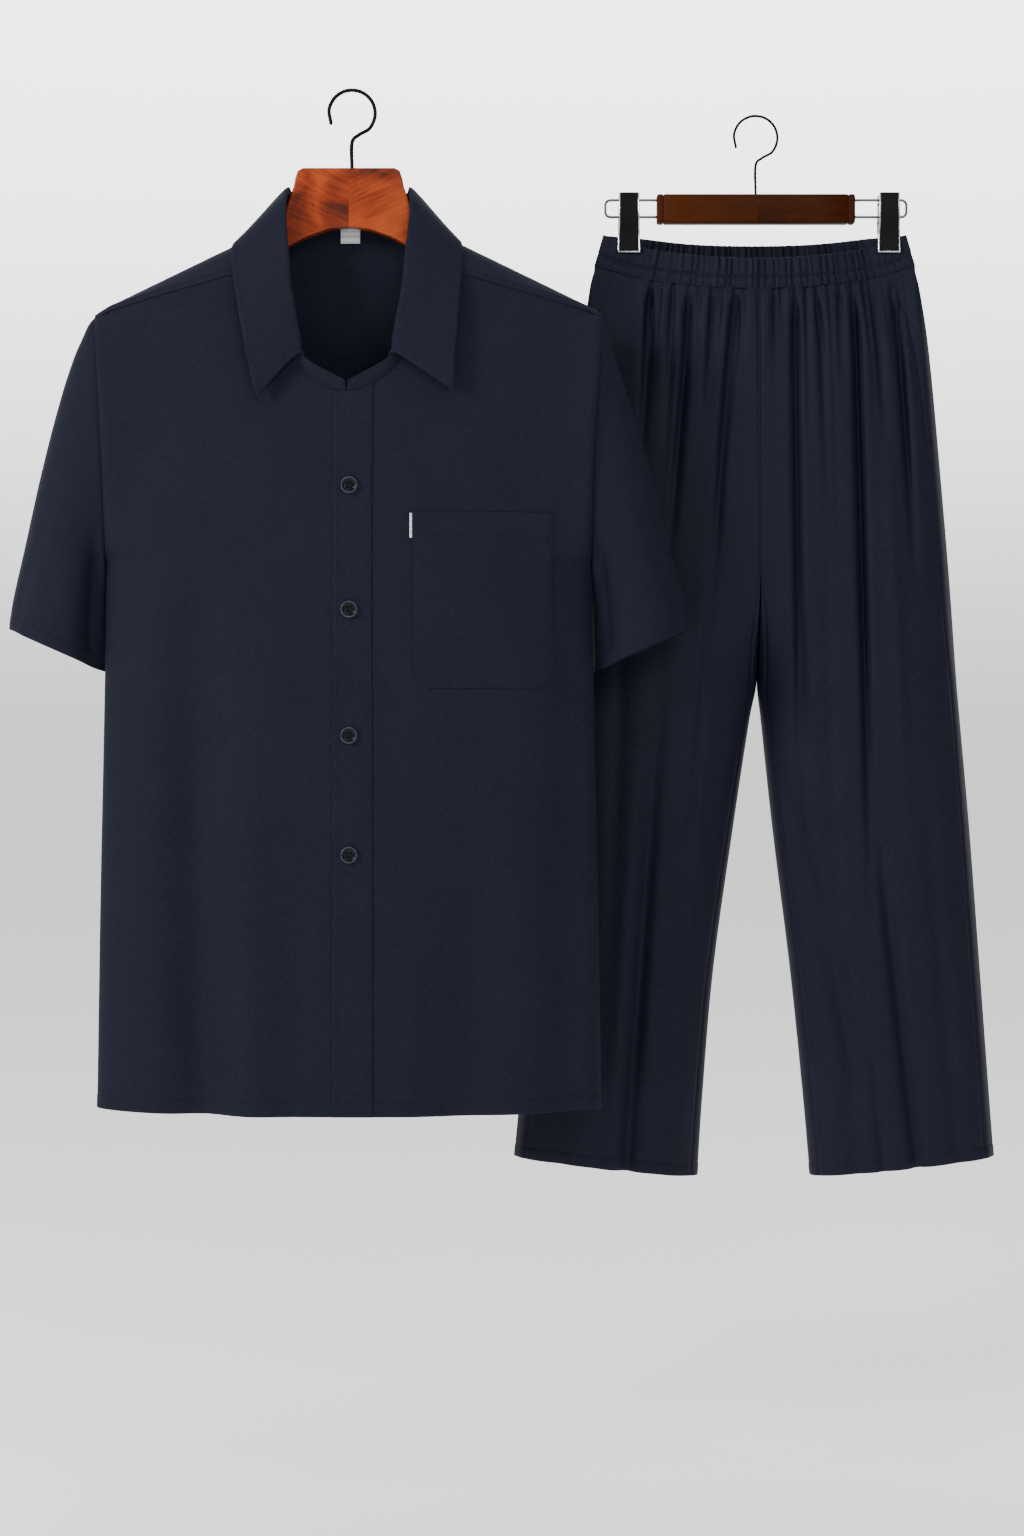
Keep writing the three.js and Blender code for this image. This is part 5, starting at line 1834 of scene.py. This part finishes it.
@dataclass
class TrouserForm:
    """The trousers' shape, from their sizes and short tables."""

    y: float = 93.2
    x: float = 390.0
    band_x: float = 387.3
    top_half: float = 147.8
    bottom_half: float = 156.4
    band_height: float = 29.5
    side_top: float = -115.0
    dip: dict[Face, float] = field(default_factory=lambda: {Face.FRONT: 26.5, Face.BACK: 7.0})
    fork: dict[Face, float] = field(default_factory=lambda: {Face.FRONT: -445.0, Face.BACK: -490.0})
    fork_end: float = -568.0
    inseam_y: float = 8.0
    flatness: float = 2.4
    hem_side: float = -1013.5
    hem_inside: float = -1033.0
    seam: float = 0.3
    waist: Table = Table(
        "across front back",
        (
            (0, 23, 19), (0.3, 20.5, 17), (0.5, 14.5, 12), (0.64, 7, 6), (0.72, 2.6, 2.5),
            (0.755, 1.6, 1.6), (0.95, 1.6, 1.6), (0.975, 2, 2), (1, 1.3, 1.3),
        ),
    )
    levels: Table = Table(
        "z r_out l_out r_in l_in front back",
        (
            (-1040, 240, 232.5, 59, 53, 27, 27),
            (-955, 232, 226, 53.5, 45.5, 29, 29),
            (-833, 223, 217, 43, 33, 31, 31),
            (-693, 211.5, 206.5, 23.5, 15.6, 34, 34),
            (-585, 202, 197, 7, 4, 37, 36),
            (-550, 199, 194, 0.5, 0.3, 37.5, 37),
            (-450, 190, 187, 0, 0, 37, 36),
            (-320, 179, 176, 0, 0, 33, 31),
            (-240, 172, 168.5, 0, 0, 29, 26),
            (-190, 167, 162, 0, 0, 26, 22),
            (-140, 159.5, 153, 0, 0, 24, 20),
        ),
    )
    folds: tuple[Fold, ...] = (
        Fold(Face.FRONT, -172, -66, -460, -90, 4.6, 8.0, Reach.FALLS),
        Fold(Face.FRONT, -174, -24, -500, -50, 4.4, 7.5, Reach.FALLS),
        Fold(Face.FRONT, -172, 34, -760, 39, 4.6, 8.5, Reach.FALLS),
        Fold(Face.FRONT, -166, 93, -860, 108, 5.0, 11.5, Reach.FALLS),
        Fold(Face.FRONT, -560, 98, -1040, 155, 7.5, 7.5, Reach.OPENS),
        Fold(Face.FRONT, -160, 133, -480, 153, 4.8, 10.0, Reach.FALLS),
        Fold(Face.FRONT, -480, -92, -1040, -130, 8.0, 8.0, Reach.OPENS),
        Fold(Face.FRONT, -480, -108, -1040, -148, 9.0, -2.5, Reach.OPENS),
        Fold(Face.FRONT, -600, 12, -1000, 112, 12, 6.5),
        Fold(Face.FRONT, -860, 104, -1040, 122, 6, 4.0, Reach.OPENS),
        Fold(Face.FRONT, -440, -46, -780, -74, 5, 3.6),
        Fold(Face.FRONT, -420, 40, -640, 44, 5, 3.0),
        Fold(Face.FRONT, -168, -104, -360, -116, 4.4, 6.5, Reach.FALLS),
        Fold(Face.FRONT, -172, -44, -330, -54, 4.2, 3.5, Reach.FALLS),
        Fold(Face.FRONT, -174, 58, -420, 66, 4.6, 3.6, Reach.FALLS),
        Fold(Face.FRONT, -170, 76, -300, 80, 4.0, 3.4, Reach.FALLS),
        Fold(Face.FRONT, -168, 114, -330, 122, 4.4, 4.0, Reach.FALLS),
        Fold(Face.FRONT, -620, -158, -1040, -196, 10, 3.4, Reach.OPENS),
        Fold(Face.FRONT, -640, -56, -1040, -84, 10, -2.6, Reach.OPENS),
        Fold(Face.FRONT, -640, 66, -1040, 96, 10, 3.4, Reach.OPENS),
        Fold(Face.FRONT, -560, 150, -1040, 194, 9, 3.0, Reach.OPENS),
        Fold(Face.FRONT, -330, -126, -820, -146, 9, 3.0),
        Fold(Face.FRONT, -360, 62, -860, 74, 8, 3.0),
        Fold(Face.FRONT, -300, 122, -700, 140, 7, -2.2),
        Fold(Face.FRONT, -420, -52, -800, -66, 9, -2.4),
        Fold(Face.BACK, -168, -96, -640, -112, 5.6, 7.0, Reach.FALLS),
        Fold(Face.BACK, -172, -42, -420, -58, 5.0, 5.0, Reach.FALLS),
        Fold(Face.BACK, -172, 58, -480, 74, 5.0, 5.5, Reach.FALLS),
        Fold(Face.BACK, -168, 112, -620, 128, 5.6, 6.5, Reach.FALLS),
        Fold(Face.BACK, -170, 22, -360, 28, 4.4, 4.0, Reach.FALLS),
        Fold(Face.BACK, -166, -126, -380, -138, 4.6, 4.5, Reach.FALLS),
        Fold(Face.BACK, -560, -106, -1040, -142, 9, 7.0, Reach.OPENS),
        Fold(Face.BACK, -600, 104, -1040, 140, 9, 7.0, Reach.OPENS),
        Fold(Face.BACK, -640, -60, -1040, -88, 11, -2.6, Reach.OPENS),
        Fold(Face.BACK, -660, 60, -1040, 84, 11, 3.0, Reach.OPENS),
        Fold(Face.BACK, -340, -132, -780, -152, 9, 3.0),
        Fold(Face.BACK, -330, 140, -700, 160, 9, 3.0),
    )

    def band_top(self, face: Face, across: Array) -> Array:
        """Height of the waistband's top edge, which hangs down in the middle."""
        return self.side_top - self.dip[face] * (1 - np.abs(across) ** 2.2)

    def waist_depth(self, face: Face, across: Array) -> Array:
        """Half the waist's opening, from the trousers' middle."""
        return self.waist(face.name.lower(), np.abs(across))

    def band_share(self, side: Side, across: Array) -> Array:
        """The place on the waistband above a place on a panel.

        Args:
            side: The wearer's side.
            across: Place on the panel.

        Returns:
            From -1 to 1 over the band.
        """
        reach = self.bottom_half + side.value * (self.band_x - self.x)
        offset = side.value * (self.x - self.band_x)
        return np.clip((offset + across * reach) / self.bottom_half, -1, 1)

    def panel_top(self, side: Side, face: Face, across: Array) -> Array:
        """Height of a panel's gathered edge, under the waistband."""
        share = self.band_share(side, across)
        return self.band_top(face, share) - self.band_height + 0.6

    def panel_hem(self, across: Array) -> Array:
        """Height of a leg's hem."""
        return self.hem_inside + (self.hem_side - self.hem_inside) * across

    def panel(self, side: Side, face: Face, across: Array, z: Array) -> Array:
        """A point of one trouser panel, without its gathers.

        Args:
            side: The wearer's side.
            face: Front or back.
            across: 0 at the middle or inside leg seam, 1 at the side seam.
            z: Height.

        Returns:
            Points in millimetres.
        """
        right = side is Side.RIGHT
        share = self.band_share(side, across)
        band_x = self.bottom_half + side.value * (self.band_x - self.x)
        closed = ease(self.fork[face], self.fork_end, z)
        clear = self.seam / 2 + 0.7 * np.clip(closed * 8, 0, 1)
        in_x = np.maximum(self.levels("r_in" if right else "l_in", z), clear)
        leg_x = self.levels("r_out" if right else "l_out", z)
        out_x = leg_x + (band_x - leg_x) * ease(-162, -146, z)
        x = side.value * (in_x + (out_x - in_x) * across)
        full = self.levels(face.name.lower(), z)
        tube_share = np.sqrt(np.maximum(0.0, 1 - np.abs(2 * across - 1) ** self.flatness))
        side_seam = self.seam / 2 + 0.95 * ease(-260, -170, z)
        block = side_seam + full * np.sqrt(np.maximum(0.0, 1 - across**self.flatness))
        shift = face.value * self.inseam_y * (1 - across)
        leg = self.seam / 2 + shift + (full - shift) * tube_share
        open_depth = block + (leg - block) * closed
        depth = open_depth + (self.waist_depth(face, share) - open_depth) * ease(-235, -160, z)
        middle = ease(0, 0.1, across) * ease(0, 0.1, 1 - across)
        fold = fold_depth(self.folds, face, x, z) * middle
        drift = 0.5 * np.sin(x * 0.045 + z * 0.006) * np.sin(z * 0.012 + x * 0.02) * middle
        return vector(self.x + x, self.y + face.value * (depth - fold + drift), z)


@dataclass
class Gathers:
    """Troughs that fall from the waistband, each with its own place, depth and length."""

    seed: int
    count: int = 13
    falls: tuple[tuple[float, float], ...] = (  # how far one falls, and the share that does
        (50.0, 0.25), (75.0, 0.3), (105.0, 0.22), (150.0, 0.13), (230.0, 0.1),
    )

    def __post_init__(self) -> None:
        """Draws the troughs from a fixed seed."""
        draw = np.random.default_rng(self.seed)
        margin = 0.04  # share of the width that stays free of them at each side
        step = (1 - 2 * margin) / self.count
        stray = draw.uniform(-0.3, 0.3, self.count)
        self.place = margin + step * (np.arange(self.count) + 0.5 + stray)
        self.deep = draw.uniform(3.2, 6.4, self.count)
        falls, shares = zip(*self.falls)
        self.fall = draw.choice(falls, self.count, p=shares)
        self.drift = draw.uniform(-0.02, 0.02, self.count)
        self.narrow = draw.uniform(2.0, 2.9, self.count)

    def depth(self, across: Array, down: Array, width: float) -> Array:
        """How far the troughs draw the cloth in.

        Args:
            across: Places on the panel, 0 to 1.
            down: Distance below the waistband.
            width: The panel's width in millimetres.

        Returns:
            Depth in millimetres; the cloth between troughs stands a little proud.
        """
        total = np.zeros(np.broadcast(across, down).shape)
        for i in range(self.count):
            reach = np.clip(down / self.fall[i], 0, None)
            spread = (self.narrow[i] * (1 + 1.5 * np.minimum(reach, 1.5))) / width
            off = np.abs(across - self.place[i] - self.drift[i] * np.minimum(reach, 1.0)) / spread
            fade = np.exp(-(reach**1.6)) * (0.45 + 0.55 * ease(0, 14, down))
            total += self.deep[i] * fade * np.exp(-(off**1.6))
        puff = 1.7 * ease(0, 12, down) * np.exp(-down / 75)
        return total - puff


@dataclass
class Trousers:
    """The trousers: four panels below an elastic waistband in two halves."""

    form: TrouserForm
    finishes: Finishes
    gathers: int = 46
    first_row: float = 2.2
    second_row: float = 11.0
    hem_inset: float = 11.0
    panel_width: float = 160.0
    runs: list[Run] = field(default_factory=list)

    def build(self) -> None:
        """Makes the panels, the waistband and the sewing."""
        for number, side in enumerate(Side):
            for face in Face:
                seed = 11 + 7 * number + face.value
                self._panel(side, face, seed)
        for face in Face:
            self._band(face)
        sewing = stitches("trouser_stitching", self.runs)
        Piece(sewing, self.finishes.thread, Slot.TROUSER_CLOTH).settle()

    def _sheet(self, panel: Panel, node: str, held: Hold, on: list[str]) -> None:
        """Builds and dresses one panel of the trousers.

        Args:
            panel: The panel.
            node: The CAD node that it stands for.
            held: How it is held; not used.
            on: What holds it; not used.
        """
        made = Piece(panel.build(), self.finishes.trousers, Slot.TROUSER_CLOTH, (node,)).settle()
        self.runs += panel.runs

    def _panel(self, side: Side, face: Face, seed: int) -> None:
        """Makes one of the four leg panels with its gathers.

        Args:
            side: The wearer's side.
            face: Front or back.
            seed: For its gathers.
        """
        form, gathers = self.form, Gathers(seed)

        def gathered(across: Array, z: Array, edges: dict[Edge, Array]) -> Array:
            """The gathers' relief, held flat at the seams and under the clips.

            Args:
                across: Place across the panel.
                z: Height.
                edges: Distances from the edges.

            Returns:
                Height above the plain form.
            """
            share = np.abs(form.band_share(side, across))
            near_clip = ease(0.66, 0.74, share) * (1 - ease(0.965, 0.985, share))
            pressed = 1 - 0.85 * near_clip * (1 - ease(8, 60, edges[Edge.TOP]))
            middle = ease(0, 0.05, across) * ease(0, 0.05, 1 - across)
            depth = gathers.depth(across, edges[Edge.TOP], self.panel_width)
            ripple = 0.35 * np.sin(across * np.pi * 62) * np.exp(-edges[Edge.TOP] / 9)
            seam_at = 1.2 + 16.8 * ease(-450, -560, z)
            return (ripple - depth) * middle * pressed - 1.0 * bump(edges[Edge.LEFT] - seam_at, 1.6)

        panel = Panel(
            name=f"leg_{face.name.lower()}_{side.name.lower()}",
            surface=lambda a, z: form.panel(side, face, a, z), span=(0.0, 1.0), columns=150,
            rows=132, low=form.panel_hem, high=lambda a: form.panel_top(side, face, a),
            seams=(
                Seamline(Edge.BOTTOM, self.hem_inset, proud=0.4),
                Seamline(Edge.RIGHT, 19.0, proud=-0.3, stitched=False, groove=1.0),
            ),
            middle_y=form.y, relief=gathered,
        )
        node = f"trouser_{face.name.lower()}_{side.name.lower()}"
        self._sheet(panel, node, Hold.HUNG, [f"band_{face.name.lower()}"])

    def _band(self, face: Face) -> None:
        """Makes one half of the waistband casing, drawn up by its elastic.

        Args:
            face: Front or back.
        """
        form = self.form

        def surface(across: Array, v: Array) -> Array:
            """The casing without its gathers: v is 0 at its foot and 1 at its fold.

            Args:
                across: From -1 to 1.
                v: Place up the casing.

            Returns:
                Points in millimetres.
            """
            half = form.bottom_half + (form.top_half - form.bottom_half) * v
            z = form.band_top(face, across) - form.band_height * (1 - v)
            depth = form.waist_depth(face, across) + 0.5 * np.sin(np.pi * np.clip(v, 0, 1))
            return vector(form.band_x + across * half, form.y + face.value * depth, z)

        def gathered(across: Array, v: Array, edges: dict[Edge, Array]) -> Array:
            """Fine uneven gathers, pressed flat under the clips.

            Args:
                across: From -1 to 1.
                v: Place up the casing.
                edges: Distances from the edges.

            Returns:
                Height in millimetres.
            """
            place = np.abs(across)
            pressed = 1 - 0.65 * ease(0.68, 0.75, place)
            pressed = pressed * (1 - ease(0.965, 0.99, place))
            phase = np.pi * self.gathers * across
            phase = phase + 0.9 * np.sin(across * 37 + 0.5) + 0.7 * np.sin(across * 83 + 2)
            phase = phase + 0.5 * np.sin(across * 11) * v + 0.6 * (v - 0.5) * np.sin(across * 53)
            size = 0.75 + 0.3 * np.sin(across * 29 + 1) + 0.2 * np.sin(across * 67)
            foot = 1 - 0.45 * bump(edges[Edge.BOTTOM] - self.first_row, 1.6)
            sewn = bump(edges[Edge.BOTTOM] - self.second_row, 1.7)
            wave = 1.15 * size * (np.cos(phase) - 0.3 * np.cos(2 * phase)) * pressed * foot
            return wave * (1 - 0.6 * sewn) - 1.3 * sewn

        panel = Panel(
            name=f"band_{face.name.lower()}", surface=surface, span=(-1.0, 1.0), columns=420,
            rows=14, low=0.0, high=1.0,
            seams=(
                Seamline(Edge.BOTTOM, self.first_row, proud=0.1, groove=0.5),
                Seamline(Edge.BOTTOM, self.second_row, proud=0.0),
            ),
            wall=1.3, middle_y=form.y, relief=gathered, samples=1200,
        )
        node = f"waistband_{face.name.lower()}"
        jaws = [f"clip_jaw_{face.name.lower()}_{place}" for place in ("left", "right")]
        self._sheet(panel, node, Hold.GATHERED, jaws)


# The hangers


@dataclass
class WoodenHanger:
    """The shirt's hanger: the frame's own board, varnished, with a finer hook."""

    finishes: Finishes
    hook_wire: float = 3.6
    foot_z: float = -72.6

    def build(self, nodes: dict[str, Object]) -> None:
        """Dresses the board and makes the hook.

        Args:
            nodes: The frame's nodes by name.
        """
        board = nodes["hanger_wood"]
        board.data.materials.clear()
        board.data.materials.append(self.finishes.red_wood)
        path = hook_path(0.0, 0.0, self.foot_z, self.hook_wire)
        hook = tube("shirt_hook_wire", path, self.hook_wire / 2)
        Piece(hook, self.finishes.black, Slot.BLACK_STEEL, ("hanger_hook",)).settle()


def hook_path(x: float, y: float, foot_z: float, wire: float, inside: float = 20.0) -> Array:
    """The middle line of a hanger hook whose inside top is at height 0.

    Args:
        x: The stem's place.
        y: The stem's depth.
        foot_z: Where the stem ends.
        wire: The wire's thickness.
        inside: The hook's inner radius.

    Returns:
        Points in millimetres.
    """
    r = inside + wire / 2
    neck = -inside - r
    points = [(x, y, foot_z), (x, y, neck - 6), (x + r * 0.3, y, neck + 1.5)]
    for degrees in range(-40, 206, 35):
        a = math.radians(degrees)
        points.append((x + r * math.cos(a), y, r * math.sin(a) - inside))
    return smooth_path(points, 10)


@dataclass
class ClipHanger:
    """The trousers' hanger: a dark bar, two wire loops and two clips with black faces."""

    finishes: Finishes
    y: float = 93.2
    bar: tuple[float, float, float, float] = (291.6, 484.9, -76.0, -104.2)
    bar_thick: float = 14.0
    wire: float = 2.6
    hook_wire: float = 2.6
    high_z: float = -81.0
    low_z: float = -97.5
    loop_ends: tuple[float, float] = (241.5, 535.5)
    clip_x: tuple[float, float] = (264.5, 518.0)
    clip_half: float = 10.0
    clip_top: float = -75.0
    clip_bottom: float = -133.0
    lip_z: float = -108.0
    bulge: float = 9.0
    grip: float = 3.3
    jaw: float = 2.4
    plate: float = 1.3
    face_proud: float = 0.7
    face_inset: float = 1.3  # the bright plate shows this much at the face's sides and foot
    pad: tuple[float, float] = (-112.0, -130.5)
    score: float = 6.5
    bend: float = 5.0

    def build(self) -> None:
        """Makes every part of the clip hanger."""
        self._bar()
        middle = (self.bar[0] + self.bar[1]) / 2
        path = hook_path(middle, self.y, self.bar[2] + 0.3, self.hook_wire)
        hook = tube("trouser_hook_wire", path, self.hook_wire / 2)
        Piece(hook, self.finishes.black, Slot.BLACK_STEEL, ("clip_hook",)).settle()
        for number, place in enumerate(("left", "right")):
            self._loop(number, place)
            for face in Face:
                self._jaw(number, place, face)

    def _bar(self) -> None:
        """Makes the bar, with rounded edges and a scored line near each end."""
        left, right, top, bottom = self.bar
        stations = [(left, -1.6), (left + 0.5, -0.6), (left + 1.6, 0.0)]
        for x in (left + self.score, right - self.score):
            stations += [(x - 1.0, 0.0), (x - 0.3, -0.8), (x + 0.3, -0.8), (x + 1.0, 0.0)]
            if x < (left + right) / 2:
                stations += [(left + (right - left) * t, 0.0) for t in (0.2, 0.4, 0.6, 0.8)]
        stations += [(right - 1.6, 0.0), (right - 0.5, -0.6), (right, -1.6)]
        rings = []
        for x, grow in stations:
            rings.append(self._rounded(x, (top - bottom) / 2 + grow, self.bar_thick / 2 + grow))
        made = loft("clip_bar_wood", np.array(rings) + (0, self.y, (top + bottom) / 2))
        Piece(made, self.finishes.dark_wood, Slot.DARK_WOOD, ("clip_bar",)).settle()

    @staticmethod
    def _rounded(x: float, half_z: float, half_y: float, radius: float = 2.2) -> Array:
        """A ring with round corners at x.

        Args:
            x: Where the ring lies.
            half_z: Half its height.
            half_y: Half its depth.
            radius: Of its corners.

        Returns:
            The ring's points.
        """
        out = []
        for corner in range(4):
            for step in range(6):
                a = math.radians(90 * corner + 18 * step)
                cy = (half_y - radius) * (1 if corner in (0, 3) else -1)
                cz = (half_z - radius) * (1 if corner in (0, 1) else -1)
                out.append((x, cy + radius * math.cos(a), cz + radius * math.sin(a)))
        return np.array(out)

    def _loop(self, number: int, place: str) -> None:
        """Makes one wire loop out of the bar's end.

        Args:
            number: 0 for the left one, 1 for the right.
            place: Its name.
        """
        side = -1 if number == 0 else 1
        end, start = self.loop_ends[number], self.bar[number] - side * 3.0
        turn = [math.radians(d) for d in range(90, -1, -15)]
        path = [(start, self.y, self.high_z)]
        for z, inward, angles in ((self.high_z, -1, turn), (self.low_z, 1, turn[::-1])):
            for a in angles:
                x = end - side * self.bend * (1 - math.cos(a))
                path.append((x, self.y, z + inward * self.bend * (1 - math.sin(a))))
        path.append((start, self.y, self.low_z))
        made = tube(f"clip_loop_{place}", np.array(path), self.wire / 2, 14)
        Piece(made, self.finishes.wire, Slot.BRIGHT_STEEL, (f"clip_wire_{place}",)).settle()

    def _profile(self, face: Face, skin: float = 0.0) -> tuple[Array, Array]:
        """The jaw's side view as two lines from top to foot, outer and inner.

        Args:
            face: Which jaw.
            skin: How far the outer line stands out.

        Returns:
            The outer and the inner line, each as (y, z) points.
        """
        lip = self.grip + self.jaw
        line = (
            (self.clip_top, self.bulge - 0.8),
            (-90.0, self.bulge),
            (self.lip_z + 6, self.bulge - 0.4),
            (self.lip_z - 1, lip + 0.8),
            (-118.0, lip),
            (-127.0, lip + 0.1),
            (self.clip_bottom, lip + 0.9),
        )
        z, out = np.array(line).T
        skins = (out + skin, out - self.plate)
        outer, inner = (np.stack([self.y + face.value * y, z], axis=1) for y in skins)
        return outer, inner

    def _plate(
        self, name: str, x: float, half: float, outer: Array, inner: Array
    ) -> Object:
        """A bent plate between two lines, a little wider at its foot, with softened edges.

        Args:
            name: The object's name.
            x: Its middle.
            half: Half its width at the top.
            outer: Its front line, as (y, z) points.
            inner: Its rear line.

        Returns:
            The object.
        """
        flare, chamfer = 1.2, 0.5
        rows = []
        for grow, (oy, oz), (iy, iz) in zip(np.linspace(0, flare, len(outer)), outer, inner):
            wide = half + grow
            rows.append(
                [
                    (x - wide + chamfer, oy, oz),
                    (x + wide - chamfer, oy, oz),
                    (x + wide, (oy + iy) / 2, oz),
                    (x + wide - chamfer, iy, iz),
                    (x - wide + chamfer, iy, iz),
                    (x - wide, (oy + iy) / 2, iz),
                ]
            )
        made = loft(name, np.array(rows, float))
        soft = made.modifiers.new("edges", "BEVEL")
        soft.width, soft.segments, soft.limit_method = 0.4 * MM, 2, "ANGLE"
        return made

    def _jaw(self, number: int, place: str, face: Face) -> None:
        """Makes one jaw: a bright steel plate, a black face on it and a pad at its lip.

        Args:
            number: 0 for the left clip, 1 for the right.
            place: The clip's name.
            face: Front or back jaw.
        """
        x, tag = self.clip_x[number], f"{face.name.lower()}_{place}"
        outer, inner = self._profile(face)
        plate = self._plate(f"clip_plate_{tag}", x, self.clip_half, outer, inner)
        Piece(plate, self.finishes.chrome, Slot.BRIGHT_STEEL, (f"clip_jaw_{tag}",)).settle()
        lowest = (-math.inf, self.clip_bottom + self.face_inset)
        proud = np.maximum(self._profile(face, self.face_proud)[0], lowest)
        half = self.clip_half - self.face_inset
        black = self._plate(f"clip_face_{tag}", x, half, proud, np.maximum(outer, lowest))
        Piece(black, self.finishes.black, Slot.BLACK_STEEL).settle()
        lips = [self.y + face.value * (self.grip + thick) for thick in (1.1, 0.2)]
        skins = [np.array([(lip, z) for z in self.pad]) for lip in lips]
        pad = self._plate(f"clip_pad_{tag}", x, self.clip_half - 0.8, *skins)
        Piece(pad, self.finishes.black, Slot.BLACK_STEEL).settle()


# The studio


@dataclass
class Studio:
    """The camera, the floor and the soft lights."""

    eye: tuple[float, float, float] = (0.1504, -2.4, -0.6354)
    lens: float = 59.84
    floor_z: float = -1.3
    floor_half: float = 14.0
    lamps: tuple[tuple, ...] = (  # name, place, aim, side in metres, watts
        ("key", (-3.0, -2.1, 0.9), (0.0, 0.0, -0.4), 1.1, 128.0),
        ("fill", (1.1, -3.4, 1.0), (0.2, 0.0, -0.4), 1.4, 54.0),
        ("top", (0.2, -0.3, 2.8), (0.2, 0.0, -1.0), 2.0, 50.0),
    )
    surround: tuple[float, float] = (0.45, 4.2)  # how bright it is in front and behind
    horizon: float = 0.19  # the share of that at the floor's far edge, so that no line shows

    def camera(self) -> None:
        """Sets the camera level with the middle of the set, looking straight at it."""
        data = bpy.data.cameras.new("camera")
        data.lens, data.sensor_width = self.lens, 36.0
        data.clip_end = 100.0
        camera = bpy.data.objects.new("camera", data)
        camera.location = self.eye
        camera.rotation_euler = (math.pi / 2, 0.0, 0.0)
        bpy.context.scene.collection.objects.link(camera)
        bpy.context.scene.camera = camera

    @staticmethod
    def _lamp(
        name: str, place: Sequence[float], aim: Sequence[float], size: float, power: float
    ) -> None:
        """Adds one soft square lamp.

        Args:
            name: The lamp's name.
            place: Where it stands.
            aim: What it looks at.
            size: Its side in metres.
            power: In watts.
        """
        data = bpy.data.lights.new(name, "AREA")
        data.size, data.energy = size, power
        lamp = bpy.data.objects.new(name, data)
        lamp.location = place
        x, y, z = np.array(aim, float) - np.array(place, float)
        tilt = math.pi / 2 + math.atan2(z, math.hypot(x, y))
        lamp.rotation_euler = (tilt, 0.0, math.atan2(-x, y))
        bpy.context.scene.collection.objects.link(lamp)

    def build(self) -> None:
        """Makes the floor, the lamps and the white surround."""
        half = self.floor_half
        square = [(-half, -half, 0), (half, -half, 0), (half, half, 0), (-half, half, 0)]
        floor = mesh_object("floor", np.array(square) / MM, [(0, 1, 2, 3)])
        floor.location.z = self.floor_z
        floor.data.materials.append(PaleFloor("matt_white_paper", "#fbfbfb").make())
        for lamp in self.lamps:
            self._lamp(*lamp)
        self._surround()

    def _surround(self) -> None:
        """Makes the white surround, brighter behind the set than in front of it."""
        world = bpy.data.worlds.new("white_surround")
        world.use_nodes = True
        tree = world.node_tree
        way = add_node(tree, "TexCoord").outputs["Generated"]
        parts = add_node(tree, "SeparateXYZ", {}, {0: way}).outputs
        low, high = self.surround
        ramps = []
        for axis, start, end, least, most in (
            ("Y", 0.1, 0.9, 0.0, high - low),
            ("Z", 0.0, 0.3, self.horizon, 1.0),
        ):
            ramp = {"Value": parts[axis], "From Min": start, "From Max": end}
            ramp |= {"To Min": least, "To Max": most}
            smooth = {"interpolation_type": "SMOOTHSTEP"}
            ramps.append(add_node(tree, "MapRange", smooth, ramp))
        both = {0: ramps[0], 1: ramps[1], 2: low}
        glow = add_node(tree, "Math", {"operation": "MULTIPLY_ADD"}, both)
        fill(tree, tree.nodes["Background"], {"Color": WHITE, "Strength": glow})
        bpy.context.scene.world = world


def corners(box: tuple) -> list[list[float]]:
    """A box's two corners as plain lists."""
    return [[float(value) for value in corner] for corner in box]


def main() -> None:
    """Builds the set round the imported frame."""
    logging.basicConfig(level=logging.INFO, format="%(message)s")
    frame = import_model()
    studio = Studio()
    studio.camera()
    studio.build()
    finishes = Finishes()
    shirt_form = ShirtForm()
    WoodenHanger(finishes).build(frame["nodes"])
    Shirt(shirt_form, finishes).build()
    Buttons(shirt_form, finishes).build()
    ClipHanger(finishes).build()
    Trousers(TrouserForm(), finishes).build()


if __name__ == "__main__":
    main()
